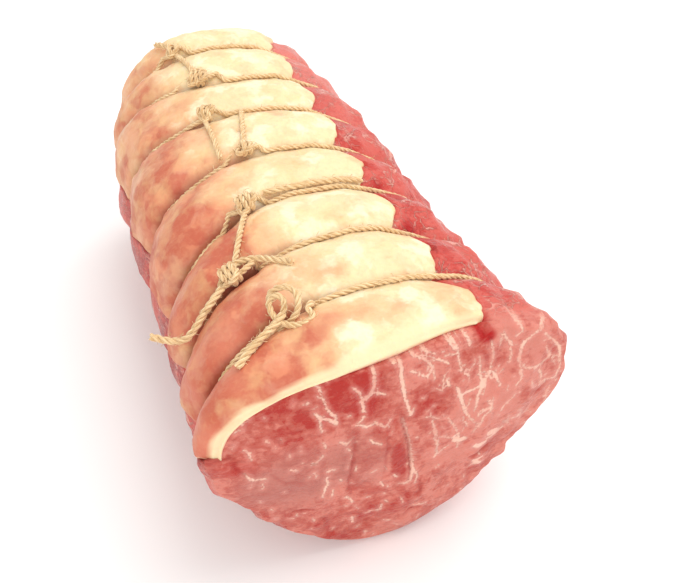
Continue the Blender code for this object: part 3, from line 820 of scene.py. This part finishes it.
# Each section's edge as (layer, column): over the outer face, down the left edge and back below.
edge_order = [(0, k) for k in range(FAT_COLUMNS)]
edge_order += [(layer, FAT_COLUMNS - 1) for layer in range(1, FAT_LAYERS)]
edge_order += [(FAT_LAYERS - 1, k) for k in range(FAT_COLUMNS - 2, -1, -1)]
edge_order += [(layer, 0) for layer in range(FAT_LAYERS - 2, 0, -1)]
ring_size = len(edge_order)
fat_points = []
for row in range(len(fat_stations)):
    block = fat_block(row)
    fat_points += [block[place] for place in edge_order]
fat_faces = ring_faces(len(fat_stations), ring_size)
fat_cut = np.zeros((len(fat_stations), ring_size))
fat_cut[:, FAT_COLUMNS - 2:FAT_COLUMNS + FAT_LAYERS - 1] = 0.4
fat_cut[:, ring_size - FAT_LAYERS + 1:] = 1
fat_cut[:, 0] = 0.8
for row, outward in ((0, -1), (len(fat_stations) - 1, 1)):
    block = fat_block(row)
    indices = {place: row * ring_size + index for index, place in enumerate(edge_order)}
    for layer in range(1, FAT_LAYERS - 1):
        for k in range(1, FAT_COLUMNS - 1):
            indices[layer, k] = len(fat_points)
            bow = END_BOW * math.sin(math.pi * layers[layer]) * outward
            fat_points.append(block[layer, k] + np.array([0, bow, 0]))
    for layer in range(FAT_LAYERS - 1):
        for k in range(FAT_COLUMNS - 1):
            corners = [(layer, k), (layer, k + 1), (layer + 1, k + 1), (layer + 1, k)]
            corners = tuple(indices[corner] for corner in corners)
            fat_faces.append(corners if outward < 0 else corners[::-1])
fat = mesh_piece("fat_sheet", fat_points, fat_faces)


def fat_values(values):
    """A value for every point of the cap, from one for every place on its outer face."""
    rows = [[values[row, k] for _, k in edge_order] for row in range(len(fat_stations))]
    caps = [np.tile(values[row, 1:-1], FAT_LAYERS - 2) for row in (0, -1)]
    return np.concatenate([np.ravel(rows), *caps])


# The looks: a pale cut rim in front, warm and pink stains to the left that are darker there partly as painted
# shade, and painted shade in the creases under the ties.
rim_wide = 0.0022 - 0.0016 * leftness
rim_pale = np.clip(1.3 - (row_s - FRONT + fat_noise(0.008, 29.0) * 0.7 * rim_wide) / rim_wide, 0, 1)
cut = np.ones(len(fat_points))
cut[:fat_cut.size] = np.maximum(fat_cut.ravel(), fat_values(rim_pale)[:fat_cut.size])
store(fat, "cut_edge", cut)
drift = fat_noise(0.026, 31.0) * 0.42 + fat_noise(0.011, 33.0) * 0.30
first_bulge = soft_peak(fat_s - FRONT - 0.016, 0.010)
pinkness = eased((fat_degrees - 95) / 46)
backward = np.clip((fat_s + 0.10) / 0.17, 0, 1)
fat_x = where[:, 0].reshape(fat_s.shape)
calm = soft_peak(fat_x + 0.019, 0.017) * soft_peak(fat_s + 0.131, 0.009)  # an even, paler patch in front
# The rise to the left is partly the fat's own peach and rust colour and partly painted shade on the side away
# from the key light; toward the back it eases off.
warmth_and_shade = (0.12 - 0.30 * backward) * (0.4 + 0.6 * pinkness) + pinkness * 1.35
warmth_and_shade = warmth_and_shade + drift * (0.55 + 0.6 * leftness) + 0.36 * first_bulge * (1 - pinkness)
warmth_and_shade = np.clip(warmth_and_shade, 0, 1.2) * (1 - 0.42 * backward) - 0.45 * calm
store(fat, "warmth_and_shade", fat_values(warmth_and_shade))
blush = np.clip((fat_noise(0.014, 37.0) + 0.35 * pinkness - 0.36) * 2.0 - calm * 2, 0, 1)
store(fat, "blush", fat_values(blush))
# Painted shade: a dark band coloured along each tie's crease, strongest on the left.
crease_shade = soft_peak(tie_gap, CREASE_SHADOW) * (0.25 + 0.75 * leftness * firm)
store(fat, "crease_shade", fat_values(crease_shade))
deep = [layers[layer] for layer, _ in edge_order] * len(fat_stations)
deep = np.concatenate([deep, np.tile(np.repeat(layers[1:-1], FAT_COLUMNS - 2), 2)])
store(fat, "depth", deep)

CREAM = (0.85, 0.68, 0.40)
WARM_CREAM = (0.80, 0.46, 0.245)
# deep rust to the left: the fat's own colour, darkened there as painted shade
RUST_AND_LEFT_SHADE = (0.55, 0.132, 0.072)
TAN = (0.84, 0.60, 0.28)
PEACH = (0.84, 0.36, 0.19)
IVORY = (0.92, 0.84, 0.60)
ROSE = (0.82, 0.30, 0.19)
SPECK = (0.72, 0.38, 0.19)
# the colour of the painted shade in the creases
CREASE_PAINTED_SHADE = (0.20, 0.030, 0.014)
FRESH_CUT = (0.90, 0.76, 0.47)
INNER_FAT = (0.82, 0.42, 0.31)


def fat_material():
    """Firm beef fat: waxy cream, warmer and pinker to the left and darker there partly as painted shade, with
    painted shade down in the creases.
    """
    material, tree, shader = paint("beef fat")
    here = joined(tree, "ShaderNodeTexCoord", {}).outputs["Object"]
    wandering = pushed_about(tree, here, 140.0, 0.010)
    clouds = noise_in(tree, wandering, 70.0, 4.0, 0.55)
    stains = noise_in(tree, wandering, 85.0, 3.0, output="Color")
    stains = joined(tree, "ShaderNodeSeparateXYZ", {0: stains}).outputs
    specks = noise_in(tree, here, 480.0, 3.0, 0.55)
    warmth_and_shade = plus(tree, read(tree, "warmth_and_shade"), ranged(tree, clouds, 0.3, 0.7, -0.22, 0.22))
    colour = blended(tree, ranged(tree, warmth_and_shade, -0.05, 0.60), CREAM, WARM_CREAM)
    # Toward rust on the left: real colour, and partly painted shade.
    colour = blended(tree, ranged(tree, warmth_and_shade, 0.42, 1.10), colour, RUST_AND_LEFT_SHADE)
    colour = blended(tree, ranged(tree, stains[0], 0.46, 0.70, 0.0, 0.34), colour, TAN)
    peach = times(tree, ranged(tree, stains[1], 0.50, 0.68), ranged(tree, warmth_and_shade, 0.0, 0.4, 0.25, 0.45))
    colour = blended(tree, peach, colour, PEACH)
    pale = times(tree, ranged(tree, stains[2], 0.50, 0.68), ranged(tree, warmth_and_shade, 0.7, 0.2, 0.10, 0.75))
    colour = blended(tree, pale, colour, IVORY)
    colour = blended(tree, times(tree, read(tree, "blush"), 0.3), colour, ROSE)
    colour = blended(tree, ranged(tree, specks, 0.45, 0.8, 0.0, 0.22), colour, SPECK)
    # Painted shade down the creases under the ties.
    colour = blended(tree, times(tree, read(tree, "crease_shade"), 0.95), colour, CREASE_PAINTED_SHADE)
    colour = blended(tree, times(tree, read(tree, "cut_edge"), 0.80), colour, FRESH_CUT)
    colour = blended(tree, ranged(tree, read(tree, "depth"), 0.45, 1.0, 0.0, 0.85), colour, INNER_FAT)
    tree.links.new(colour, shader.inputs["Base Color"])
    raise_relief(tree, shader, plus(tree, times(tree, clouds, 2.2), times(tree, specks, 0.4)), 0.6, 0.0009)
    tree.links.new(ranged(tree, clouds, 0.35, 0.7, 0.40, 0.58), shader.inputs["Roughness"])
    shader.inputs["Specular IOR Level"].default_value = 0.35
    shader.inputs["Subsurface Weight"].default_value = 0.22
    shader.inputs["Subsurface Radius"].default_value = (1.0, 0.55, 0.30)
    shader.inputs["Subsurface Scale"].default_value = 0.003
    return material


fat.data.materials.append(fat_material())
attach(fat, "root")
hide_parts("fat_cap")

# --- The butcher's twine ------------------------------------------------------------------------
# Natural jute, three plies laid up into a 2.4 mm string. Each tie is drawn tight round the roll, so
# it spans its hollows, and ends in an overhand knot on top. Cut ends and cross strands lie loose.
PLIES = 3
PLY_RADIUS = 0.00058
LAY_RADIUS = 0.00064
LAY_LENGTH = 0.0078
PLY_SHIFT = 3.7  # so that no two plies show the same fibres
TWINE_STEP = 0.0006
LINE_STEP = 0.0005
FIBRE_LENGTH = 0.0016
FIBRES = 70000.0  # loose fibres on each square metre of ply
TWINE_SINK = 0.0002  # how far a tie presses in on top
SIDE_SINK = 0.0011  # and in the lean on the right
LEFT_SINK = (-0.8, -0.8, -0.8, 0.7, 1.4, 1.5, 1.5)  # each tie's share of that in the fat on the left
LEFT_LEAN_SINK = 0.5  # and the share in the lean below it


def laid_twine_tree():
    """Lays plies round each line of a curve, and sets short loose fibres on them."""
    tree = bpy.data.node_groups.new("laid_twine", "GeometryNodeTree")
    ask = tree.interface.new_socket
    ask("Geometry", in_out="INPUT", socket_type="NodeSocketGeometry")
    for name in ("Ply Radius", "Lay Radius", "Lay Length", "Step", "Fibre Density", "Fibre Length"):
        ask(name, in_out="INPUT", socket_type="NodeSocketFloat")
    ask("Seed", in_out="INPUT", socket_type="NodeSocketInt")
    ask("Material", in_out="INPUT", socket_type="NodeSocketMaterial")
    ask("Geometry", in_out="OUTPUT", socket_type="NodeSocketGeometry")
    size = tree.nodes.new("NodeGroupInput").outputs

    def made(kind, sockets, **settings):
        return joined(tree, kind, sockets, **settings).outputs[0]

    stepped = {"Curve": size["Geometry"], "Length": size["Step"]}
    line = made("GeometryNodeResampleCurve", stepped, mode="LENGTH")
    line = made("GeometryNodeSetCurveNormal", {"Curve": line}, mode="MINIMUM_TWIST")
    length = tree.nodes.new("GeometryNodeSplineParameter").outputs["Length"]
    turns = calculated(tree, "DIVIDE", length, size["Lay Length"])
    sway = joined(tree, "ShaderNodeTexNoise", {"Scale": 160.0, "Detail": 1.0}).outputs[0]
    angle = calculated(tree, "MULTIPLY_ADD", turns, 2 * math.pi, times(tree, sway, 1.1))
    normal = tree.nodes.new("GeometryNodeInputNormal").outputs[0]
    tangent = tree.nodes.new("GeometryNodeInputTangent").outputs[0]
    binormal = made("ShaderNodeVectorMath", {0: tangent, 1: normal}, operation="CROSS_PRODUCT")
    rim = made("GeometryNodeCurvePrimitiveCircle", {"Resolution": 7, "Radius": size["Ply Radius"]})
    place = tree.nodes.new("GeometryNodeInputPosition").outputs[0]
    marked = {"Geometry": rim, "Name": "ply_side", "Value": place}
    rim = made("GeometryNodeStoreNamedAttribute", marked, data_type="FLOAT_VECTOR")
    plies = tree.nodes.new("GeometryNodeJoinGeometry")
    for ply in range(PLIES):
        phase = plus(tree, angle, 2 * math.pi * ply / PLIES)
        up = scaled(tree, normal, calculated(tree, "COSINE", phase))
        over = scaled(tree, binormal, calculated(tree, "SINE", phase))
        offset = scaled(tree, summed(tree, up, over), size["Lay Radius"])
        strand = made("GeometryNodeSetPosition", {"Geometry": line, "Offset": offset})
        marked = {"Geometry": strand, "Name": "ply_run", "Value": plus(tree, length, PLY_SHIFT * ply)}
        strand = made("GeometryNodeStoreNamedAttribute", marked)
        tube = made("GeometryNodeCurveToMesh", {"Curve": strand, "Profile Curve": rim, "Fill Caps": True})
        tree.links.new(tube, plies.inputs[0])
    twine = made("GeometryNodeSetShadeSmooth", {"Geometry": plies.outputs[0]})

    # One fibre about 1 m long, bent outwards, which is scaled down wherever it is set.
    bow = {"Resolution": 3, "Start": (0, 0, 0), "Middle": (0.4, 0, 0.5), "End": (1.0, 0.25, 0.35)}
    hair = made("GeometryNodeCurveQuadraticBezier", bow)
    hair_rim = made("GeometryNodeCurvePrimitiveCircle", {"Resolution": 3, "Radius": 0.055})
    hair = made("GeometryNodeCurveToMesh", {"Curve": hair, "Profile Curve": hair_rim, "Fill Caps": True})
    spread = {"Mesh": twine, "Density": size["Fibre Density"], "Seed": size["Seed"]}
    spots = joined(tree, "GeometryNodeDistributePointsOnFaces", spread).outputs
    spin = {0: (-0.4, -0.4, 0.0), 1: (0.4, 0.4, 6.28), "Seed": size["Seed"]}
    spin = joined(tree, "FunctionNodeRandomValue", spin, data_type="FLOAT_VECTOR").outputs[0]
    spin = joined(tree, "FunctionNodeEulerToRotation", {0: spin}).outputs[0]
    spin = {"Rotation": spots["Rotation"], "Rotate By": spin}
    spin = joined(tree, "FunctionNodeRotateRotation", spin, rotation_space="LOCAL").outputs[0]
    share = {2: 0.4, 3: 1.5, "Seed": size["Seed"]}
    share = joined(tree, "FunctionNodeRandomValue", share, data_type="FLOAT").outputs[1]
    share = times(tree, share, size["Fibre Length"])
    placed = {"Points": spots["Points"], "Instance": hair, "Rotation": spin, "Scale": share}
    hairs = made("GeometryNodeInstanceOnPoints", placed)
    hairs = made("GeometryNodeRealizeInstances", {"Geometry": hairs})
    everything = tree.nodes.new("GeometryNodeJoinGeometry")
    tree.links.new(twine, everything.inputs[0])
    tree.links.new(hairs, everything.inputs[0])
    finished = made("GeometryNodeRealizeInstances", {"Geometry": everything.outputs[0]})
    finished = made("GeometryNodeSetMaterial", {"Geometry": finished, "Material": size["Material"]})
    joined(tree, "NodeGroupOutput", {"Geometry": finished})
    return tree


def evened(points, step, softness):
    """A line resampled every step, with its corners softened over a distance."""
    points = np.asarray(points)
    run = np.concatenate([[0], np.cumsum(np.linalg.norm(np.diff(points, axis=0), axis=1))])
    count = max(4, int(round(run[-1] / step)))
    even = np.linspace(0, run[-1], count + 1)
    line = np.stack([np.interp(even, run, points[:, k]) for k in range(3)], 1)
    reach = int(3 * softness / step)
    if reach:
        weights = np.exp(-0.5 * (np.arange(-reach, reach + 1) * step / softness) ** 2)
        before = 2 * line[0] - line[reach:0:-1]
        after = 2 * line[-1] - line[-2:-reach - 2:-1]
        padded = np.concatenate([before, line, after])
        line = np.stack([np.convolve(padded[:, k], weights / weights.sum(), "valid") for k in range(3)], 1)
    return line


def make_twine(name, lines, seed, material, fibres=FIBRES, looseness=1.0):
    """One mesh piece of laid twine that follows the given lines. Nothing of it goes below the table."""
    curve = bpy.data.curves.new(name + "_line", "CURVE")
    curve.dimensions = "3D"
    for line in lines:
        spline = curve.splines.new("POLY")
        spline.points.add(len(line) - 1)
        for control, point in zip(spline.points, line):
            control.co = (*point, 1)
    guide = bpy.data.objects.new(name + "_line", curve)
    bpy.context.scene.collection.objects.link(guide)
    modifier = guide.modifiers.new("laid twine", "NODES")
    modifier.node_group = TWINE_TREE
    amounts = {
        "Ply Radius": PLY_RADIUS * looseness,
        "Lay Radius": LAY_RADIUS * looseness,
        "Lay Length": LAY_LENGTH * looseness,
        "Step": TWINE_STEP,
        "Fibre Density": fibres,
        "Fibre Length": FIBRE_LENGTH / looseness,
        "Seed": seed,
        "Material": material,
    }
    for socket in TWINE_TREE.interface.items_tree:
        if socket.in_out == "INPUT" and socket.name in amounts:
            modifier[socket.identifier] = amounts[socket.name]
    depsgraph = bpy.context.evaluated_depsgraph_get()
    mesh = bpy.data.meshes.new_from_object(guide.evaluated_get(depsgraph), depsgraph=depsgraph)
    mesh.name = name
    for vertex in mesh.vertices:
        vertex.co.z = max(vertex.co.z, 0)
    bpy.data.objects.remove(guide)
    piece = bpy.data.objects.new(name, mesh)
    bpy.context.scene.collection.objects.link(piece)
    return piece


DARK_STRAW = (0.62, 0.38, 0.17)
PALE_STRAW = (0.96, 0.76, 0.46)
BROWN_STRAW = (0.66, 0.42, 0.20)


def twine_material():
    """Dry jute: straw-coloured strands with darker and paler fibres running along each ply."""
    material, tree, shader = paint("jute twine")
    here = joined(tree, "ShaderNodeTexCoord", {}).outputs["Object"]
    wide = scaled(tree, read(tree, "ply_side", "Vector"), 1600.0)
    along = joined(tree, "ShaderNodeCombineXYZ", {2: times(tree, read(tree, "ply_run"), 160.0)}).outputs[0]
    fibres = noise_in(tree, summed(tree, wide, along), 2.2, 3.0)
    patches = noise_in(tree, here, 90.0, 3.0)
    colour = blended(tree, ranged(tree, fibres, 0.32, 0.68), DARK_STRAW, PALE_STRAW)
    colour = blended(tree, ranged(tree, patches, 0.42, 0.72, 0.0, 0.45), colour, BROWN_STRAW)
    tree.links.new(colour, shader.inputs["Base Color"])
    raise_relief(tree, shader, fibres, 0.6, 0.0003)
    shader.inputs["Roughness"].default_value = 0.82
    shader.inputs["Specular IOR Level"].default_value = 0.25
    shader.inputs["Sheen Weight"].default_value = 0.25
    return material


def hull_of(section):
    """The tight line round a cloud of (x, z) points, counter-clockwise."""
    ordered = sorted(map(tuple, section))
    sides = []
    for run in (ordered, ordered[::-1]):
        side = []
        for point in run:
            while len(side) > 1 and (
                (side[-1][0] - side[-2][0]) * (point[1] - side[-2][1])
                - (side[-1][1] - side[-2][1]) * (point[0] - side[-2][0])
            ) <= 0:
                side.pop()
            side.append(point)
        sides += side[:-1]
    return np.array(sides)


def tie_round(tie):
    """The closed line of a tie's twine as (x, z), 1 mm apart, and the joint's section under it."""
    row = int(np.abs(stations - tie_stations[tie]).argmin())
    fat_row = int(np.abs(fat_stations - tie_stations[tie]).argmin())
    a = np.concatenate([angles, fat_a[fat_row]])
    r = np.concatenate([lean_radii[row], fat_outer[fat_row]])
    section = np.stack([r * np.cos(a), np.maximum(0, AXIS_HEIGHT + r * np.sin(a))], 1)
    tight = hull_of(section)
    tight = np.concatenate([tight, tight[:1]])
    flat_line = evened(np.insert(tight, 1, 0, 1), 0.001, 0)[:-1, ::2]
    along = np.roll(flat_line, -1, 0) - np.roll(flat_line, 1, 0)
    outward = np.stack([along[:, 1], -along[:, 0]], 1)
    outward /= np.linalg.norm(outward, axis=1)[:, None]
    off_top = np.clip((np.abs(flat_line[:, 0] - 0.002) - 0.022) / 0.025, 0, 1)
    on_fat = np.clip((flat_line[:, 1] - 0.042) / 0.016, 0, 1)
    left_share = LEFT_LEAN_SINK + (LEFT_SINK[tie] - LEFT_LEAN_SINK) * on_fat
    sink = TWINE_SINK + (SIDE_SINK - TWINE_SINK) * off_top * np.where(flat_line[:, 0] < 0, left_share, 1.0)
    line = flat_line + outward * (TWINE_RADIUS - sink)[:, None]
    line[:, 1] = np.maximum(line[:, 1], TWINE_RADIUS * 1.05)
    return line, outward


KNOT_RISE = 0.0016
KNOT_END_SINK = 0.0018
WRAP_RISE = 0.0010
WRAP_PITCH = 0.0023


def knot_line(middle, out, wide, long, turn):
    """An overhand knot's strand: it comes in at the left, twists round itself, leaves at the right."""
    along = np.array([0.0, 1.0, 0.0])
    across = np.cross(along, out)
    t = np.linspace(-2.12, 2.12, 120)
    u, v = (t ** 3 - 3 * t) * wide, (t ** 4 - 4 * t ** 2 + 1.4) * long
    u, v = u * math.cos(turn) - v * math.sin(turn), u * math.sin(turn) + v * math.cos(turn)
    rise = KNOT_RISE + (t ** 5 / 12 - t / 1.2) * KNOT_RISE * np.exp(-(t / 2.3) ** 6)
    ending = np.clip((np.abs(t) - 1.3) / 0.8, 0, 1) ** 2
    rise = rise * (1 - ending) - KNOT_END_SINK * ending
    return middle + across * u[:, None] + along * v[:, None] + out * rise[:, None]


def wrap_line(middle, out, across, reach, turns):
    """A strand that is wound tight round the waist of a knot, with its ends tucked in."""
    across = across / np.linalg.norm(across)
    along = np.cross(out, across)
    t = np.linspace(-0.5 * turns, 0.5 * turns, int(40 * turns)) * 2 * math.pi
    tucked = reach * np.clip((math.pi * turns - np.abs(t)) / 1.2, 0.35, 1)
    ring = out * (np.cos(t) * tucked)[:, None] + along * (np.sin(t) * tucked * 1.12)[:, None]
    return middle + out * WRAP_RISE + ring + across * (t / (2 * math.pi) * WRAP_PITCH)[:, None]


TWINE_TREE = laid_twine_tree()
TWINE = twine_material()

# The first knot is loose and open: a ring with the strand drawn through it. Its two strands, in mm
# across, up its face and out of it; the face leans back from upright and turns to the front left.
OPEN_TURN = math.radians(-21)
OPEN_TILT = math.radians(30)
OPEN_STRAND = (
    (-6.8, -8.6, 0.2), (-4.8, -5.4, 0.8), (-2.4, -1.4, 1.0), (-1.2, 2.6, 1.4), (-2.4, 4.9, 2.6),
    (-5.4, 5.1, 2.6), (-6.9, 2.6, 1.8), (-5.9, -1.4, 2.2), (-3.4, -4.7, 3.0), (0.2, -6.6, 3.4),
    (4.2, -6.6, 2.6), (7.6, -4.8, 1.6), (7.4, -2.2, 1.2), (5.2, -1.2, 1.0), (7.4, 0.6, 0.8),
)
OPEN_RING = (
    (-5.6, -9.4, 0.6), (-3.6, -6.4, 0.8), (0.0, -4.2, 0.9), (2.6, -1.8, 1.4), (3.6, 1.6, 2.2),
    (3.2, 5.0, 2.6), (0.6, 7.4, 2.4), (-3.0, 7.7, 2.0), (-6.4, 6.4, 1.0), (-6.6, 4.0, 0.2),
)
OPEN_GAPS = (0.0082, 0.0088)  # how far the tie's own line stops short of it on each side
OPEN_SOFTNESS = 0.0009


def open_knot(points, middle, out):
    """Points of the open knot, laid out in space from across, up and out in mm."""
    back = np.array([0.0, 1.0, 0.0])
    up = back * math.cos(OPEN_TILT) + out * math.sin(OPEN_TILT)
    face = out * math.cos(OPEN_TILT) - back * math.sin(OPEN_TILT)
    across = np.cross(up, face)
    across, up = (
        across * math.cos(OPEN_TURN) + up * math.sin(OPEN_TURN),
        up * math.cos(OPEN_TURN) - across * math.sin(OPEN_TURN),
    )
    return middle + np.array(points) / 1000 @ np.array([across, up, face])


# For each of the others, pulled tight: the size of its path across the roll and along it, its turn
# in degrees, and the turns wound round its waist with their radius. None is the open knot.
KNOTS = (
    None,
    (0.0022, 0.0017, -30, 2.5, 0.0033),
    (0.0020, 0.0015, 20, 2.6, 0.0031),
    (0.0016, 0.0013, -15, 1.8, 0.0026),
    (0.0019, 0.0014, 30, 2.2, 0.0029),
    (0.0024, 0.0018, -20, 2.8, 0.0033),
    (0.0016, 0.0013, 10, 1.7, 0.0025),
)
TIGHT_GAP = 0.0035  # how far past its path the tie's own line stops short
KNOT_LOWERED = 0.0008
TIE_WANDER = 0.0006
LEFT_SETBACK = 0.0009  # the ties lie this much further back on the left
TIE_SOFTNESS = 0.0006
for tie, tight in enumerate(KNOTS):
    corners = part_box(f"knot_{tie + 1}")
    knot = (corners[0] + corners[1]) / 2
    line, outward = tie_round(tie)
    start = int(np.hypot(line[:, 0], line[:, 1]).argmin())
    line, outward = np.roll(line, -start, 0)[::-1], np.roll(outward, -start, 0)[::-1]
    y = leaned(np.full(len(line), tie_stations[tie]), line[:, 0])
    y = y + smooth_noise(np.stack([line[:, 0], y, line[:, 1]], 1), 0.014, 50.0 + tie) * TIE_WANDER
    y = y + LEFT_SETBACK * np.clip((-0.018 - line[:, 0]) / 0.012, 0, 1)
    string = np.stack([line[:, 0], y, line[:, 1]], 1)
    on_top = line[:, 1] > AXIS_HEIGHT
    at = int(np.where(on_top, np.abs(line[:, 0] - knot.x), 1).argmin())
    before, after = (tight[0] * 3.3 + TIGHT_GAP,) * 2 if tight else OPEN_GAPS
    hidden = on_top & (line[:, 0] > knot.x - before) & (line[:, 0] < knot.x + after)
    first, last = np.flatnonzero(hidden)[[0, -1]]
    out = np.array([outward[at, 0], 0, outward[at, 1]])
    middle = np.array(knot) - out * KNOT_LOWERED
    if tight:
        wide, long, turn, turns, reach = tight
        knotted = knot_line(middle, out, wide, long, math.radians(turn))
        lines = [wrap_line(middle, out, string[at + 4] - string[at - 4], reach, turns)]
    else:
        knotted = evened(open_knot(OPEN_STRAND, middle, out), LINE_STEP, OPEN_SOFTNESS)
        lines = [evened(open_knot(OPEN_RING, middle, out), LINE_STEP, OPEN_SOFTNESS)]
    string = np.concatenate([string[:first], knotted, string[last + 1:], string[:2]])
    lines.append(evened(string, LINE_STEP, TIE_SOFTNESS))
    piece = make_twine(f"twine_tie_{tie + 1}", lines, 100 + tie, TWINE)
    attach(piece, "root")
    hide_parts(f"twine_loop_{tie + 1}", f"knot_{tie + 1}")

# The strands that run from one tie to the next, drawn tight.
STRANDS = 4
STRAND_TUCK = 0.0048  # how far each end runs on into the next knot or tie
for number in range(1, STRANDS + 1):
    tube = node_points(f"twine_link_{number}")
    ys = np.linspace(tube[:, 1].min() - STRAND_TUCK, tube[:, 1].max() + STRAND_TUCK, 14)
    x, z = (np.polyval(np.polyfit(tube[:, 1], tube[:, k], 2), ys) for k in (0, 2))
    strand = evened(np.stack([x, ys, z], 1), LINE_STEP, 0.001)
    piece = make_twine(f"twine_strand_{number}", [strand], 200 + number, TWINE)
    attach(piece, "root")
    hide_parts(f"twine_link_{number}")

# The short cut ends beside knots 1, 2 and 7: laid looser than the ties, and frayed by the knife.
END_LOOSENESS = 1.2
END_SOFTNESS = 0.0014
FRAYED_FIBRES = 300000.0
SHORT_ENDS = {
    "twine_tail_1": (
        (-0.0300, -0.1165, 0.1075), (-0.0330, -0.1185, 0.1057), (-0.0370, -0.1200, 0.1042),
        (-0.0410, -0.1222, 0.1029), (-0.0452, -0.1247, 0.1014), (-0.0492, -0.1273, 0.0993),
    ),
    "twine_tail_2_short": (
        (-0.0392, -0.0822, 0.1022), (-0.0372, -0.0785, 0.1032), (-0.0336, -0.0782, 0.1040),
        (-0.0289, -0.0797, 0.1048), (-0.0244, -0.0840, 0.1063), (-0.0207, -0.0879, 0.1072),
        (-0.0182, -0.0912, 0.1082),
    ),
    "twine_tail_7": (
        (-0.0220, 0.0940, 0.1150), (-0.0228, 0.0985, 0.1148), (-0.0250, 0.1025, 0.1143),
        (-0.0275, 0.1062, 0.1130),
    ),
}
for seed, (name, route) in enumerate(SHORT_ENDS.items()):
    path = evened(route, LINE_STEP, END_SOFTNESS)
    piece = make_twine(name.replace("tail", "end"), [path], 300 + seed, TWINE, FRAYED_FIBRES, END_LOOSENESS)
    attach(piece, "root")
    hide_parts(name)

# The two long free ends: one hangs over the left side from knot 2, one lies along tie 3.
FREE_END_FIBRES = 200000.0
FREE_ENDS = {
    "twine_tail_2_long": (0.035, (
        (-0.0437, -0.0865, 0.1001), (-0.0478, -0.0885, 0.0972), (-0.0519, -0.0903, 0.0937),
        (-0.0563, -0.0924, 0.0892), (-0.0602, -0.0928, 0.0855), (-0.0655, -0.0905, 0.0848),
        (-0.0716, -0.0870, 0.0862),
    )),
    "twine_tail_3": (0.043, (
        (-0.0140, -0.0416, 0.1074), (-0.0070, -0.0420, 0.1077), (0.0010, -0.0422, 0.1078),
        (0.0090, -0.0422, 0.1076), (0.0170, -0.0421, 0.1068), (0.0235, -0.0419, 0.1052),
        (0.0285, -0.0415, 0.1036),
    )),
}
for seed, (name, (length, route)) in enumerate(FREE_ENDS.items()):
    path = evened(route, LINE_STEP, END_SOFTNESS)
    piece = make_twine(name.replace("tail", "end"), [path], 400 + seed, TWINE, FREE_END_FIBRES, END_LOOSENESS)
    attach(piece, "root")
    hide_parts(name)

# --- The studio ---------------------------------------------------------------------------------
# A plain white sweep under a big soft light from above on the right, with white light all round it.
AZIMUTH = math.radians(-21.28)
ELEVATION = math.radians(39.0)
CAMERA_PLACE = (-0.0877, -0.3266, 0.2927)
CAMERA_LENS = 43.92
FLOOR_REACH = 3
FLOOR_CORNERS = [(x * FLOOR_REACH, y * FLOOR_REACH, 0) for x, y in ((-1, -1), (1, -1), (1, 1), (-1, 1))]

floor_mesh = bpy.data.meshes.new("studio_floor")
floor_mesh.from_pydata(FLOOR_CORNERS, [], [(0, 1, 2, 3)])
floor = bpy.data.objects.new("studio_floor", floor_mesh)
bpy.context.scene.collection.objects.link(floor)
floor_material = bpy.data.materials.new("white paper")
floor_material.use_nodes = True
floor_shader = floor_material.node_tree.nodes["Principled BSDF"]
floor_shader.inputs["Base Color"].default_value = (0.98, 0.98, 0.98, 1)
floor_shader.inputs["Roughness"].default_value = 0.9
floor_mesh.materials.append(floor_material)


def soft_light(name, place, aim, size, power, colour):
    """A square soft box that stands at a place and shines at another."""
    light = bpy.data.lights.new(name, "AREA")
    light.size = size
    light.energy = power
    light.color = colour
    box = bpy.data.objects.new(name, light)
    box.location = place
    box.rotation_euler = (Vector(aim) - Vector(place)).to_track_quat("-Z", "Y").to_euler()
    bpy.context.scene.collection.objects.link(box)


soft_light("key_light", (0.50, 0.05, 1.1), (0, 0, 0.05), 1.1, 8.0, (1.0, 0.98, 0.95))
soft_light("front_light", (-0.35, -1.2, 0.7), (0, 0, 0.05), 1.0, 5.0, (1.0, 0.98, 0.96))
world = bpy.data.worlds.new("white_room")
world.use_nodes = True
room_light = world.node_tree.nodes["Background"]
room_light.inputs["Color"].default_value = (1.0, 0.995, 0.985, 1)
room_light.inputs["Strength"].default_value = 0.88
bpy.context.scene.world = world
bpy.context.scene.view_settings.view_transform = "Standard"

camera_data = bpy.data.cameras.new("studio_camera")
camera_data.sensor_width = 36.0
camera_data.lens = CAMERA_LENS
camera_data.clip_start = 0.01
camera = bpy.data.objects.new("studio_camera", camera_data)
camera.location = CAMERA_PLACE
camera.rotation_euler = (math.pi / 2 - ELEVATION, 0, AZIMUTH)
bpy.context.scene.collection.objects.link(camera)
bpy.context.scene.camera = camera
